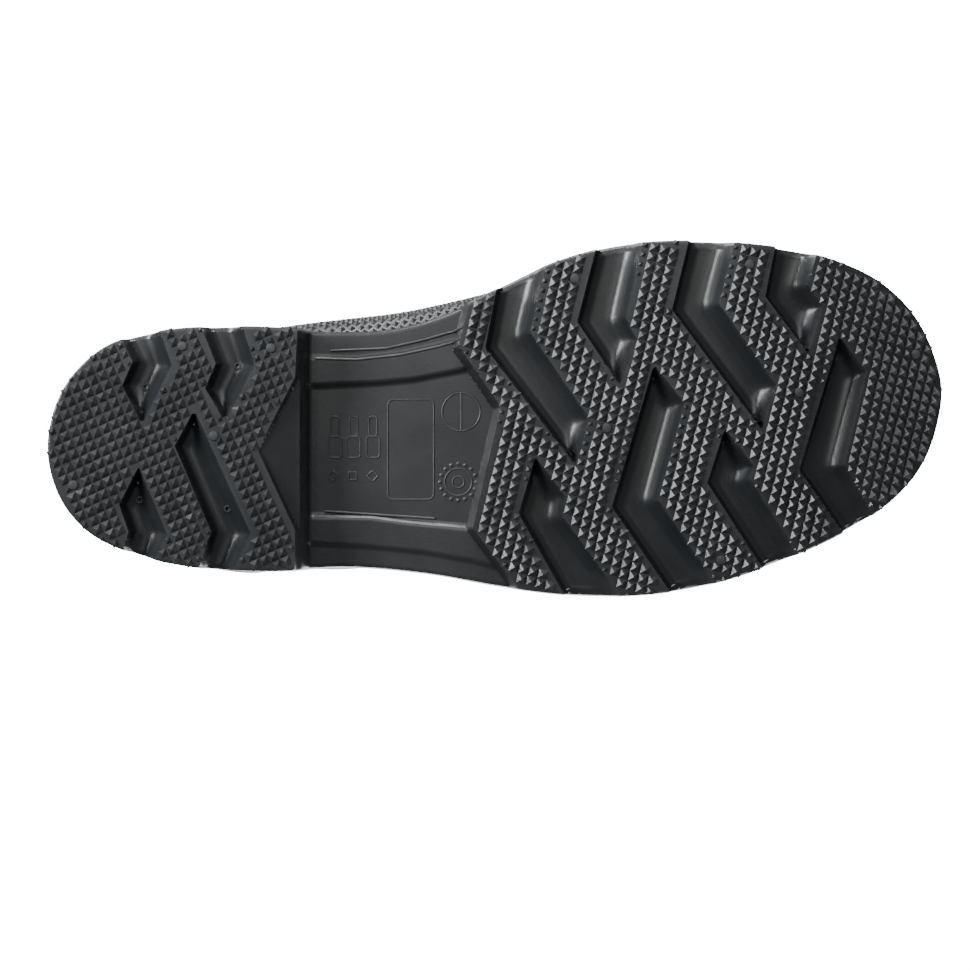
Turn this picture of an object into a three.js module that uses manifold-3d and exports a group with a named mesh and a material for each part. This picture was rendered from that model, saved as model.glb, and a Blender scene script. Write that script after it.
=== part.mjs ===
// Left safety boot of black rubber: a pull-on work boot with a steel toe cap and steel midsole.
// Millimetres. +X towards the toe, +Y lateral (outer side of the left foot), +Z up.
// Every layer is laid on one last, the form of the foot space, at its own distance from it.
import * as THREE from "three";
import { mergeVertices } from "three/addons/utils/BufferGeometryUtils.js";
import Module from "manifold-3d";

// ---- driving dimensions -------------------------------------------------------------------
const soleLength = 307; // heel to toe tip of the outsole, EU 43
const ballWidth = 121; // outsole width at the ball
const legTop = 330; // height of the leg's top edge
const gap = 0.3; // clearance between touching pieces

const liningThickness = 1.8;
const capThickness = 1.9; // steel toe cap
const capLength = 62; // from the front of the last to the cap's rear edge
const capFlange = 9; // width of the cap's turned-in flange
const edgeStripWidth = 16;
const edgeStripThickness = 1.4;
const boardThickness = 2;
const stiffenerThickness = 1.8;
const stiffenerHeight = 78; // above the seat of the last
const stiffenerReach = 62; // forward from the back of the heel
const shellThickness = 2.2; // rubber upper
const lastingMargin = 15; // width of the upper turned under the board
const steelThickness = 0.9; // midsole plate
const fillerEdge = 0.5; // space between filler and lasting margin

const seatInset = 13; // the board and the plate stay this far inside the outsole's edge
const treadDepth = 6.5;
const grooveWidth = 15.5; // forefoot grooves, along the boot
const heelGrooveWidth = 13.3;
const heelLength = 86; // back of the heel to the breast
const breastDepth = 4; // run of the sloping breast face
const waistHeight = 17.5; // underside of the waist at the breast
const toeSpring = 11.5;
const rimRise = 1.5; // cup wall above the seat of the last

const coreLength = 46; // heel filler block
const coreWidth = 44;
const coreFloor = 12; // rubber left under the block
const coreBack = 22;
const shankLength = 92;
const shankWidth = 18;
const shankThickness = 1.2;
const shankBack = 66;

const foxingThickness = 2.6;
const foxingHeight = 15;
const guardThickness = 1.8;
const toeGuardHeight = 22;
const toeGuardLength = 60;
const heelGuardHeight = 34;
const heelGuardLength = 46;
const patchThickness = 1.6;
const ankleHeight = 118; // centre of the ankle pads
const ankleSetback = 66; // centre of the ankle pads from the back of the heel
const ankleRadius = 27;
const backStripWidth = 20;
const collarHeight = 24;
const ribCount = 4;
const ribWidth = 6;
const ribPitch = 11;
const ribHeight = 1.6;
const instepWidth = 56;
const instepSlope = 1.02; // radians down from level

const footbedClearance = 1;
const foamThickness = 4.5;
const coverThickness = 1.1;
const footbedToe = 22; // footbed ends this far behind the front of the last

const loopWidth = 28; // webbing width, along the boot
const webbing = 1.8; // webbing thickness
const loopGap = 17; // inside width of the pull loop
const loopRise = 34; // straight part plus bow above the collar
const loopLean = 0.5; // the leg narrows this much from its edge down to the loop's stem
const collarRound = 1.2; // the collar's bow radius against its half width
const stemLength = 8;
const anchorWidth = 42;
const anchorHeight = 32;
const anchorThickness = 3.4;
const anchorDrop = 7; // top of the anchor patch below the collar edge

// ---- grading: the shapes below are drawn for the reference size and graded to these sizes ----
const lengthGrade = soleLength / 307;
const widthGrade = ballWidth / 121;
const throatHeight = 150; // the leg is graded above this height only
const legGrade = (legTop - throatHeight) / (330 - throatHeight);
const along = (x) => x * lengthGrade;
const across = (y) => y * widthGrade;
const legZ = (z) => (z > throatHeight ? throatHeight + (z - throatHeight) * legGrade : z);

// Outsole outline seen from above, lateral side first: [along, across].
const outlinePoints = [
  [0, 0], [4.5, 17.5], [14, 28.6], [28, 35.6], [48, 40.3], [75, 41.8], [103, 40.8], [130, 43],
  [155, 47.2], [180, 50], [205, 49.7], [228, 45.8], [250, 38.5], [272, 28.8], [290, 17], [301, 3.5],
  [307, -19], [303.5, -34.5], [296, -47.5], [283, -58.5], [262, -66.5], [240, -69.9], [214, -71],
  [192, -69], [172, -63.3], [152, -54], [135, -46], [116, -41.2], [95, -40.6], [66, -41.8],
  [38, -40.2], [19, -34.5], [5, -20],
];
// Seat of the last, which the foot stands on, in side view: [along, height].
const seatPoints = [
  [-20, 35.5], [60, 35], [95, 33.5], [130, 27.5], [160, 22.5], [190, 20.5], [215, 20.6],
  [240, 22.6], [262, 26], [285, 30.2], [325, 38],
];
// Stations of the last from toe to collar. front and back are the ends of the section in side view,
// [along, height]; sides are [medial, lateral]; square is how square the section is at back and front.
const stations = [
  { front: [295, 46], back: [295, 46], sides: [-19, -19], square: [2.2, 2.2] },
  { front: [293, 56], back: [293, 37.5], sides: [-33, -6], square: [2.6, 2.2] },
  { front: [288, 64], back: [288, 33], sides: [-42, 1], square: [3.2, 2.2] },
  { front: [278, 70], back: [278, 29.3], sides: [-49, 11], square: [4, 2.2] },
  { front: [262, 74.5], back: [262, 26], sides: [-56, 23], square: [4.6, 2.2] },
  { front: [242, 78], back: [240, 22.6], sides: [-60.5, 32], square: [5, 2.2] },
  { front: [222, 83], back: [215, 20.6], sides: [-62, 39], square: [5, 2.2] },
  { front: [203, 91], back: [186, 20.6], sides: [-59, 41], square: [5, 2.2] },
  { front: [184, 101], back: [152, 23.6], sides: [-50.5, 39.5], square: [4.6, 2.2] },
  { front: [166, 113], back: [112, 31.3], sides: [-42.5, 37], square: [4.2, 2.2] },
  { front: [150, 128], back: [72, 35], sides: [-39.5, 36.5], square: [3.6, 2.2] },
  { front: [138, 144], back: [38, 36], sides: [-38.3, 37], square: [3, 2.2] },
  { front: [131, 160], back: [15, 47], sides: [-38, 38], square: [2.5, 2.2] },
  { front: [128, 176], back: [9, 75], sides: [-39, 38.5], square: [2.3, 2.2] },
  { front: [128, 193], back: [11, 108], sides: [-40, 39.5], square: [2.2, 2.2] },
  { front: [131, 215], back: [14, 150], sides: [-42.5, 40], square: [2.2, 2.2] },
  { front: [137, 245], back: [13, 200], sides: [-45.5, 42.5], square: [2.2, 2.2] },
  { front: [143, 282], back: [9, 262], sides: [-48.5, 45], square: [2.2, 2.2] },
  { front: [148, 330], back: [6, 330], sides: [-51, 47], square: [2.2, 2.2] },
];
const ringPoints = 24;
const collar = stations[stations.length - 1];
const collarMiddle = along((collar.front[0] + collar.back[0]) / 2);

// Cutting planes that lie clear of the boot on every side, and how far inner bodies pass its top.
const deep = -60;
const high = 400;
const behind = -60;
const wide = 150;
const openTop = 8;

// ---- solids ---------------------------------------------------------------------------------
const wasm = await Module();
wasm.setup();

// A closed three.js geometry as a manifold-3d solid with its faces turned outwards.
function solid(geometry) {
  const bare = new THREE.BufferGeometry();
  bare.setAttribute("position", geometry.getAttribute("position"));
  if (geometry.index) bare.setIndex(geometry.index);
  const merged = mergeVertices(bare, 1e-4);
  const triVerts = new Uint32Array(merged.index.array);
  const vertProperties = merged.getAttribute("position").array;
  const made = new wasm.Manifold(new wasm.Mesh({ numProp: 3, vertProperties, triVerts }));
  if (made.volume() > 0) return made;
  for (let i = 0; i < triVerts.length; i += 3) {
    const first = triVerts[i];
    triVerts[i] = triVerts[i + 1];
    triVerts[i + 1] = first;
  }
  return new wasm.Manifold(new wasm.Mesh({ numProp: 3, vertProperties, triVerts }));
}

const shapeOf = (points) => new THREE.Shape(points.map(([x, y]) => new THREE.Vector2(x, y)));

// A prism over a plan outline [along, across], between two heights.
function planPrism(points, low, high) {
  const geometry = new THREE.ExtrudeGeometry(shapeOf(points), {
    depth: high - low,
    bevelEnabled: false,
  });
  geometry.translate(0, 0, low);
  return solid(geometry);
}

// A prism over a side-view outline [along, height], between two positions across.
function sidePrism(points, from = -wide, to = wide) {
  const geometry = new THREE.ExtrudeGeometry(shapeOf(points), {
    depth: to - from,
    bevelEnabled: false,
  });
  geometry.rotateX(Math.PI / 2);
  geometry.translate(0, to, 0);
  return solid(geometry);
}

// A prism over a front-view outline [across, height], between two positions along.
function frontPrism(points, from, to) {
  const geometry = new THREE.ExtrudeGeometry(shapeOf(points), {
    depth: to - from,
    bevelEnabled: false,
  });
  geometry.rotateX(Math.PI / 2);
  geometry.rotateZ(Math.PI / 2);
  geometry.translate(from, 0, 0);
  return solid(geometry);
}

// ---- outlines -------------------------------------------------------------------------------
const flat = ([x, y]) => new THREE.Vector3(x, y, 0);
const soleCurve = new THREE.CatmullRomCurve3(
  outlinePoints.map(([x, y]) => flat([along(x), across(y)])),
  true,
);
const outlineSteps = 72;

const soleEdge = soleCurve.getPoints(480);

// The outsole's outline moved inwards by a distance. Points that the move carries past each other,
// nearer to the edge than that distance, are left out.
function outline(inset = 0) {
  const points = [];
  for (let i = 0; i < outlineSteps; i++) {
    const p = soleCurve.getPoint(i / outlineSteps);
    const t = soleCurve.getTangent(i / outlineSteps);
    points.push([p.x + t.y * inset, p.y - t.x * inset]);
  }
  const clear = ([x, y]) => soleEdge.every((p) => Math.hypot(p.x - x, p.y - y) > inset - 0.3);
  return inset > 0 ? points.filter(clear) : points;
}

const seatCurve = new THREE.CatmullRomCurve3(seatPoints.map(([x, z]) => flat([along(x), z])));
// The seat line raised by a height, as points from back to front.
const seatLine = (rise = 0, steps = 26) => {
  return seatCurve.getPoints(steps).map((p) => [p.x, p.y + rise]);
};
const seatHeight = (x) => {
  const line = seatLine(0, 200);
  return line.reduce((best, p) => (Math.abs(p[0] - x) < Math.abs(best[0] - x) ? p : best))[1];
};

// The slab between two heights above the seat line.
const seatBand = (low, high) => sidePrism([...seatLine(low), ...seatLine(high).reverse()]);
const underSeat = (rise) => sidePrism([...seatLine(rise), [along(325), -60], [along(-20), -60]]);

// ---- the last -------------------------------------------------------------------------------
const stationCurve = (pick) => {
  const points = stations.map(pick);
  return new THREE.CatmullRomCurve3(points.map(flat), false, "catmullrom", 0.5);
};
const frontCurve = stationCurve(({ front: [x, z] }) => [along(x), legZ(z)]);
const backCurve = stationCurve(({ back: [x, z] }) => [along(x), legZ(z)]);
const sideCurve = stationCurve(({ sides: [m, l] }) => [across(m), across(l)]);
const squareCurve = stationCurve(({ square }) => square);
const tip = frontCurve.getPoint(0).x;

// Half of a section, from its back end to its front end, in equal steps.
function halfSection(t, side) {
  const front = frontCurve.getPoint(t);
  const back = backCurve.getPoint(t);
  const sides = sideCurve.getPoint(t);
  const square = squareCurve.getPoint(t);
  const middle = (sides.x + sides.y) / 2;
  const half = ((sides.y - sides.x) / 2) * side;
  const dense = [];
  for (let i = 0; i <= 60; i++) {
    const angle = (i / 60) * Math.PI;
    const power = 2 / (angle < Math.PI / 2 ? square.x : square.y);
    const reach = -Math.sign(Math.cos(angle)) * Math.abs(Math.cos(angle)) ** power;
    const wide = Math.sin(angle) ** power;
    const share = (1 + reach) / 2;
    const x = back.x + (front.x - back.x) * share;
    const z = back.y + (front.y - back.y) * share;
    dense.push(new THREE.Vector3(x, middle + half * wide, z));
  }
  const path = new THREE.CurvePath();
  for (let i = 0; i < 60; i++) path.add(new THREE.LineCurve3(dense[i], dense[i + 1]));
  const points = [];
  for (let i = 0; i <= ringPoints / 2; i++) points.push(path.getPointAt((i * 2) / ringPoints));
  return points;
}

// The last's surface: a point at the toe tip, then rings up to the collar, with vertex normals.
const ringCount = stations.length - 1;
const lastSurface = (() => {
  const points = [new THREE.Vector3(tip, sideCurve.getPoint(0).x, frontCurve.getPoint(0).y)];
  for (let ring = 1; ring <= ringCount; ring++) {
    const lateral = halfSection(ring / ringCount, 1);
    const medial = halfSection(ring / ringCount, -1);
    points.push(...lateral, ...medial.slice(1, -1).reverse());
  }
  const index = [];
  const at = (ring, i) => 1 + (ring - 1) * ringPoints + (i % ringPoints);
  for (let i = 0; i < ringPoints; i++) {
    index.push(0, at(1, i + 1), at(1, i));
    for (let ring = 1; ring < ringCount; ring++) {
      index.push(at(ring, i), at(ring, i + 1), at(ring + 1, i + 1));
      index.push(at(ring, i), at(ring + 1, i + 1), at(ring + 1, i));
    }
  }
  const geometry = new THREE.BufferGeometry().setFromPoints(points);
  geometry.setIndex(index);
  geometry.computeVertexNormals();
  return geometry;
})();
const normalSign = Math.sign(lastSurface.getAttribute("normal").getX(0));

// The closed body at a distance outside the last. rise lifts its top above the collar.
const bodies = new Map();
function lastBody(offset, rise = 0) {
  const key = offset.toFixed(3) + "," + rise;
  if (bodies.has(key)) return bodies.get(key);
  const place = lastSurface.getAttribute("position");
  const normal = lastSurface.getAttribute("normal");
  const points = [];
  for (let i = 0; i < place.count; i++) {
    const p = new THREE.Vector3().fromBufferAttribute(place, i);
    const n = new THREE.Vector3().fromBufferAttribute(normal, i);
    const top = i >= place.count - ringPoints;
    if (top) n.z = 0;
    points.push(p.addScaledVector(n.normalize(), offset * normalSign));
  }
  const index = [...lastSurface.index.array];
  let first = points.length - ringPoints;
  if (rise) {
    for (let i = 0; i < ringPoints; i++) {
      const next = (i + 1) % ringPoints;
      points.push(points[first + i].clone().add(new THREE.Vector3(0, 0, rise)));
      index.push(first + i, first + next, first + ringPoints + next);
      index.push(first + i, first + ringPoints + next, first + ringPoints + i);
    }
    first += ringPoints;
  }
  const centre = points.length;
  points.push(new THREE.Vector3(collarMiddle, 0, legTop + rise));
  for (let i = 0; i < ringPoints; i++) index.push(first + i, first + ((i + 1) % ringPoints), centre);
  const geometry = new THREE.BufferGeometry().setFromPoints(points);
  geometry.setIndex(index);
  bodies.set(key, solid(geometry));
  return bodies.get(key);
}

// ---- regions of the pieces laid on the lining, each grown by a margin ---------------------------
const far = 400;
const capBack = tip - capLength;
const capRegion = (grow) => {
  const back = capBack - grow;
  return sidePrism([[back, -60], [far, -60], [far, 200], [back + 6, 200]]);
};
const boardRegion = (grow) => {
  return planPrism(outline(seatInset - grow), -60, 90).intersect(underSeat(grow - 0.2));
};
const stiffenerRegion = (grow) => {
  const top = seatHeight(0) + stiffenerHeight + grow;
  const low = seatHeight(0) - 1.2 - grow;
  const reach = stiffenerReach + grow;
  return sidePrism(
    [[behind, low], [reach, low], [reach * 0.86, top - 28], [reach * 0.6, top], [behind, top]],
  );
};

// What the lining and the pieces on it fill, with a layer of the given thickness laid over them.
const onLining = liningThickness + gap;
const stripRegion = (grow) => capRegion(edgeStripWidth + grow);
const stack = [
  [capThickness, capRegion],
  [edgeStripThickness, stripRegion],
  [boardThickness, boardRegion],
  [stiffenerThickness, stiffenerRegion],
];
function wrapped(layer, rise = 0) {
  let made = lastBody(onLining + layer, rise);
  for (const [thickness, region] of stack) {
    const body = lastBody(onLining + thickness + gap + layer, rise);
    made = made.add(body.intersect(region(gap + layer)));
  }
  return made;
}

// ---- inner pieces -----------------------------------------------------------------------------
const lining = lastBody(liningThickness).subtract(lastBody(0, openTop));

const layerOnLining = (thickness) => {
  return lastBody(onLining + thickness, 0).subtract(lastBody(onLining, openTop));
};
const insoleBoard = layerOnLining(boardThickness)
  .intersect(boardRegion(0))
  .subtract(sidePrism([[tip - 6, deep], [far, deep], [far, high], [tip - 6, high]]))
  .subtract(capRegion(gap));
const capOpening = planPrism(outline(seatInset + capFlange), deep, high).intersect(underSeat(2));
const steelToeCap = layerOnLining(capThickness).intersect(capRegion(0)).subtract(capOpening);
const edgeStrip = layerOnLining(edgeStripThickness)
  .intersect(stripRegion(0))
  .subtract(capRegion(gap))
  .subtract(underSeat(8));
const heelStiffener = layerOnLining(stiffenerThickness)
  .intersect(stiffenerRegion(0))
  .subtract(underSeat(0.4));

const marginOpening = (inset) => {
  return planPrism(outline(seatInset + lastingMargin + inset), deep, high).intersect(underSeat(-1));
};
const upperShell = wrapped(shellThickness).subtract(wrapped(0, openTop)).subtract(marginOpening(0));
const soleFiller = wrapped(shellThickness).subtract(wrapped(0)).intersect(marginOpening(fillerEdge));

const onShell = shellThickness + gap;
const onMargin = onLining + Math.max(boardThickness, capThickness, stiffenerThickness) + gap + onShell;
const plateRegion = (grow) => boardRegion(grow);
const steelMidsole = lastBody(onMargin + steelThickness)
  .subtract(lastBody(onMargin))
  .intersect(plateRegion(0))
  .subtract(sidePrism([[behind, deep], [along(14), deep], [along(14), high], [behind, high]]));

// ---- outsole ----------------------------------------------------------------------------------
const underPlate = onMargin + steelThickness + gap;
const soleSeat = wrapped(onShell).add(lastBody(underPlate).intersect(plateRegion(gap)));

// A plan outline with straight sides and round ends.
const capsule = (back, front, width) => {
  const radius = width / 2;
  const points = [];
  for (let i = 0; i <= 12; i++) {
    const angle = Math.PI / 2 + (i / 12) * Math.PI;
    points.push([back + radius + radius * Math.cos(angle), radius * Math.sin(angle)]);
  }
  for (let i = 0; i <= 12; i++) {
    const angle = -Math.PI / 2 + (i / 12) * Math.PI;
    points.push([front - radius + radius * Math.cos(angle), radius * Math.sin(angle)]);
  }
  return points;
};

const coreOutline = (grow) => {
  return capsule(coreBack - grow, coreBack + coreLength + grow, coreWidth + 2 * grow);
};
const heelCore = planPrism(coreOutline(0), coreFloor, 60).subtract(lastBody(underPlate));
const corePocket = planPrism(coreOutline(gap), coreFloor - gap, 60);

const shankOutline = (grow) => {
  const front = shankBack + shankLength;
  return capsule(shankBack - grow, front + grow, shankWidth + 2 * grow);
};
const shankBed = (grow) => lastBody(underPlate + shankThickness + grow).intersect(underSeat(-5));
const shankPocket = planPrism(shankOutline(gap), deep, high).intersect(shankBed(gap));
const shank = planPrism(shankOutline(0), deep, high)
  .intersect(shankBed(0))
  .subtract(lastBody(underPlate))
  .subtract(planPrism(coreOutline(gap), deep, high));

// Underside of the outsole in side view: heel, breast, waist, forefoot and toe spring.
const treadStart = 137;
const heelFront = heelLength + breastDepth;
const spring = (share) => toeSpring * share;
const undersidePoints = [
  [along(-20), 0], [along(heelLength), 0], [along(heelFront), waistHeight],
  [along(105), waistHeight * 0.9], [along(125), waistHeight * 0.7], [along(treadStart), 9.8],
  [along(treadStart), 0], [along(236), 0], [along(250), spring(0.07)], [along(265), spring(0.2)],
  [along(280), spring(0.42)], [along(294), spring(0.7)], [along(308), spring(1)],
  [along(325), spring(1.35)],
];
const rimLine = () => seatLine(rimRise).reverse();
const soleBlock = planPrism(outline(), -1, 60).intersect(sidePrism([...undersidePoints, ...rimLine()]));

// Where a line through p along u crosses a line through q along v.
function crossing(p, u, q, v) {
  const s = ((q[0] - p[0]) * v[1] - (q[1] - p[1]) * v[0]) / (u[0] * v[1] - u[1] * v[0]);
  return [p[0] + u[0] * s, p[1] + u[1] * s];
}

// A groove of two arms. corner is its outer corner and across the step to its inner corner; one arm
// runs out over the edge of the sole, the other runs in and is cut off parallel to the first.
function chevron({ corner, width, out, inward, reach }) {
  const move = ([x, y], [u, v], s) => [x + u * s, y + v * s];
  const inner = move(corner, width, 1);
  const end = move(corner, inward, reach);
  const tipPoint = crossing(end, out, inner, inward);
  return [move(corner, out, 60), corner, end, tipPoint, inner, move(inner, out, 60)];
}

const heading = (degrees) => [Math.sin(THREE.MathUtils.degToRad(degrees)),
  -Math.cos(THREE.MathUtils.degToRad(degrees))];
const steep = heading(14.5); // towards the medial edge and the toe
const slant = heading(180 - 36); // towards the lateral edge and the toe
const heelSteep = heading(-20); // towards the medial edge and the back
const heelSlant = heading(180 + 26.5); // towards the lateral edge and the back
const heelRise = heading(-26.5);
const heelOut = heading(180 + 22);
const foreStep = [grooveWidth, -1.6];
const heelStep = [-heelGrooveWidth, -1];
const longArm = 50;
const shortArm = 25;
const lateralShort = 20;
const foreMedial = [[149, -34.5, longArm], [180.5, -43, shortArm], [212.5, -47.5, longArm],
  [244.5, -52, shortArm]];
const foreLateral = [[160.5, 22, lateralShort], [192.3, 19.5, longArm], [224.8, 11.7, lateralShort],
  [256, 7.2, longArm - 2]];
const heelMedial = [[42.4, -28.3, 22.5], [70.7, -28.3, 22]];
const heelLateral = [[41, 29, 25], [69.5, 29, 47]];
const grooves = [
  ...foreMedial.map(([x, y, reach]) => {
    return chevron({ corner: [x, y], width: foreStep, out: steep, inward: slant, reach });
  }),
  ...foreLateral.map(([x, y, reach]) => {
    return chevron({ corner: [x, y], width: foreStep, out: slant, inward: steep, reach });
  }),
  ...heelMedial.map(([x, y, reach]) => {
    return chevron({ corner: [x, y], width: heelStep, out: heelSteep, inward: heelSlant, reach });
  }),
  ...heelLateral.map(([x, y, reach]) => {
    return chevron({ corner: [x, y], width: heelStep, out: heelOut, inward: heelRise, reach });
  }),
  [[86, -60], [84.5, -25], [71.7, 0.5], [84.5, 27], [86, 60], [100, 60], [100, -60]],
  [[153.5, -56], [144, -50.5], [140, -35], [154.5, -14], [145, 27], [161, 48.5], [161, 70], [120, 70],
    [120, -70], [153.5, -70]],
].map((points) => points.map(([x, y]) => [along(x), across(y)]));
const treadFloor = sidePrism([
  [along(-30), treadDepth], [along(heelLength + 1), treadDepth], [along(heelLength + 2), -60],
  [along(treadStart - 18), -60], [along(treadStart - 17), 12.4], [along(treadStart), 9.8],
  [along(164), treadDepth], [along(236), treadDepth], [along(250), spring(0.07) + treadDepth],
  [along(280), spring(0.42) + treadDepth], [along(325), spring(1.35) + treadDepth], [along(325), -80],
  [along(-30), -80],
]);
let outsole = soleBlock.subtract(soleSeat).subtract(corePocket).subtract(shankPocket);
for (const groove of grooves) {
  outsole = outsole.subtract(planPrism(groove, -20, 40).intersect(treadFloor));
}

// ---- outer pieces -----------------------------------------------------------------------------
const overlay = (thickness) => wrapped(onShell + thickness).subtract(wrapped(onShell, openTop));
const foxingStrip = overlay(foxingThickness)
  .intersect(seatBand(rimRise + gap, rimRise + foxingHeight));
const guardLow = rimRise + foxingHeight + gap;
const toeGuard = overlay(guardThickness)
  .intersect(seatBand(guardLow, guardLow + toeGuardHeight))
  .intersect(sidePrism([[tip - toeGuardLength, deep], [far, deep], [far, high], [tip - 46, high]]));
const heelGuard = overlay(guardThickness)
  .intersect(seatBand(guardLow, guardLow + heelGuardHeight))
  .intersect(sidePrism([[behind, deep], [heelGuardLength, deep], [heelGuardLength - 14, high], [behind, high]]));

const anklePad = (from, to) => {
  const points = [];
  for (let i = 0; i < 28; i++) {
    const angle = (i / 28) * 2 * Math.PI;
    points.push([
      ankleSetback + ankleRadius * Math.cos(angle),
      ankleHeight + ankleRadius * Math.sin(angle),
    ]);
  }
  return overlay(patchThickness).intersect(sidePrism(points, from, to));
};
const anklePatchMedial = anklePad(-wide, 0);
const anklePatchLateral = anklePad(0, wide);

const stripLow = seatHeight(0) + guardLow + heelGuardHeight + gap;
const collarLow = legTop - collarHeight;
const backStrip = overlay(patchThickness).intersect(
  planPrism([[behind, -backStripWidth / 2], [40, -backStripWidth / 2], [40, backStripWidth / 2],
    [behind, backStripWidth / 2]], stripLow, collarLow - gap),
);
const collarBand = overlay(patchThickness).intersect(
  planPrism([[-80, -120], [260, -120], [260, 120], [-80, 120]], collarLow, legTop + 20),
);

// Patch over the front of the ankle, with ribs across it.
const instepFront = frontCurve.getPoint(12 / ringCount);
const instepStart = [instepFront.x - 26, instepFront.y - 10];
const instepPlan = (low, high, halfWidth) => {
  const slope = [Math.cos(instepSlope), -Math.sin(instepSlope)];
  const place = (s, d) => [instepStart[0] + slope[0] * s + slope[1] * -d,
    instepStart[1] + slope[1] * s + slope[0] * d];
  return sidePrism([place(low, 0), place(high, 0), place(high, 70), place(low, 70)],
    -halfWidth, halfWidth);
};
const patchLength = ribCount * ribPitch + ribWidth;
let instepGuard = overlay(patchThickness)
  .intersect(instepPlan(-patchLength / 2, patchLength / 2, instepWidth / 2));
for (let i = 0; i < ribCount; i++) {
  const middle = (i - (ribCount - 1) / 2) * ribPitch;
  const rib = overlay(patchThickness + ribHeight)
    .intersect(instepPlan(middle - ribWidth / 2, middle + ribWidth / 2, instepWidth / 2 - 3));
  instepGuard = instepGuard.add(rib);
}

// ---- footbed ----------------------------------------------------------------------------------
const footbedEnd = sidePrism(
  [[behind, deep], [tip - footbedToe, deep], [tip - footbedToe, high], [behind, high]],
);
const footbed = (low, high) => {
  return lastBody(-footbedClearance).intersect(seatBand(low, high)).intersect(footbedEnd);
};
const footbedFoam = footbed(-2, footbedClearance + foamThickness);
const coverLow = footbedClearance + foamThickness + gap;
const footbedCover = footbed(coverLow, coverLow + coverThickness);

// ---- pull loops -------------------------------------------------------------------------------
const anchorTop = legTop - anchorDrop;
const anchorBox = (from, to) => {
  const half = anchorWidth / 2;
  return sidePrism([[collarMiddle - half, anchorTop - anchorHeight],
    [collarMiddle + half, anchorTop - anchorHeight], [collarMiddle + half, anchorTop],
    [collarMiddle - half, anchorTop]], from, to);
};
const anchor = (from, to) => {
  return lastBody(-gap).subtract(lastBody(-gap - anchorThickness, openTop)).intersect(anchorBox(from, to));
};
// A bow of webbing over a short stem, in front view; the webbing's width runs along the boot.
const loopBase = anchorTop + gap;
const loopBow = (half) => half - Math.sqrt(half ** 2 - (loopWidth / 2) ** 2);
function pullLoop(side) {
  const collarHalf = across(Math.abs(collar.sides[side > 0 ? 1 : 0]));
  const loopWall = collarHalf - loopBow(collarHalf * collarRound) - loopLean - gap;
  const outer = loopGap / 2 + webbing;
  const centre = [loopWall - outer, loopBase + stemLength + loopRise - outer];
  const arc = (radius, from, to, steps = 14) => {
    const points = [];
    for (let i = 0; i <= steps; i++) {
      const angle = from + ((to - from) * i) / steps;
      points.push([centre[0] + radius * Math.cos(angle), centre[1] + radius * Math.sin(angle)]);
    }
    return points;
  };
  const low = loopBase + stemLength;
  const outside = [
    [loopWall, loopBase], ...arc(outer, 0, Math.PI), [loopWall - 2 * webbing - 1, low],
    [loopWall - 2 * webbing, loopBase],
  ];
  const inside = [[loopWall - webbing, low + 6], ...arc(loopGap / 2, 0, Math.PI)];
  const mirror = ([y, z]) => [y * side, z];
  const from = collarMiddle - loopWidth / 2;
  const to = collarMiddle + loopWidth / 2;
  const strap = frontPrism(outside.map(mirror), from, to);
  return strap.subtract(frontPrism(inside.map(mirror), from - 1, to + 1));
}

// ---- the boot ---------------------------------------------------------------------------------
const rubber = { color: 0x2b2c2f, roughness: 0.32, metalness: 0 };
const steel = { color: 0x9a9da0, roughness: 0.4, metalness: 1 };
const textile = { color: 0xb9b4a6, roughness: 0.95, metalness: 0 };
const board = { color: 0x8a7458, roughness: 0.9, metalness: 0 };
const foam = { color: 0x3c3f45, roughness: 0.9, metalness: 0 };
const pieces = [
  ["outsole", outsole, rubber],
  ["heel_core", heelCore, foam],
  ["shank", shank, steel],
  ["steel_midsole", steelMidsole, steel],
  ["sole_filler", soleFiller, foam],
  ["insole_board", insoleBoard, board],
  ["steel_toe_cap", steelToeCap, steel],
  ["toe_cap_edge_strip", edgeStrip, foam],
  ["lining", lining, textile],
  ["heel_stiffener", heelStiffener, board],
  ["upper_shell", upperShell, rubber],
  ["foxing_strip", foxingStrip, rubber],
  ["toe_guard", toeGuard, rubber],
  ["heel_guard", heelGuard, rubber],
  ["back_strip", backStrip, rubber],
  ["ankle_patch_medial", anklePatchMedial, rubber],
  ["ankle_patch_lateral", anklePatchLateral, rubber],
  ["instep_guard", instepGuard, rubber],
  ["collar_band", collarBand, rubber],
  ["loop_anchor_medial", anchor(-150, 0), rubber],
  ["loop_anchor_lateral", anchor(0, 150), rubber],
  ["pull_loop_medial", pullLoop(-1), textile],
  ["pull_loop_lateral", pullLoop(1), textile],
  ["footbed_foam", footbedFoam, foam],
  ["footbed_cover", footbedCover, textile],
];

const boot = new THREE.Group();
for (const [name, made, finish] of pieces) {
  const { vertProperties, triVerts, numProp } = made.getMesh();
  const geometry = new THREE.BufferGeometry();
  const places = new THREE.InterleavedBuffer(vertProperties, numProp);
  geometry.setAttribute("position", new THREE.InterleavedBufferAttribute(places, 3, 0));
  geometry.setIndex(new THREE.BufferAttribute(triVerts, 1));
  const mesh = new THREE.Mesh(geometry, new THREE.MeshStandardMaterial(finish));
  mesh.name = name;
  boot.add(mesh);
}
// The boot's own frame: its origin is the middle of its underside.
const bounds = new THREE.Box3().setFromObject(boot);
const middle = bounds.getCenter(new THREE.Vector3());
boot.position.set(-middle.x, -middle.y, -bounds.min.z);
export default boot;
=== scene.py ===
"""Looks of a left rubber safety boot with a cleated sole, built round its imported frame.

Shapes are worked out in millimetres in the sole's own frame: x from the back of the heel to the
toe, y across with the lateral side positive, z up from the ground. They are placed in the row
frame in metres.
"""
import math
import bpy
import bmesh
import numpy as np
from mathutils import Matrix, Vector
from mathutils.bvhtree import BVHTree


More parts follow.
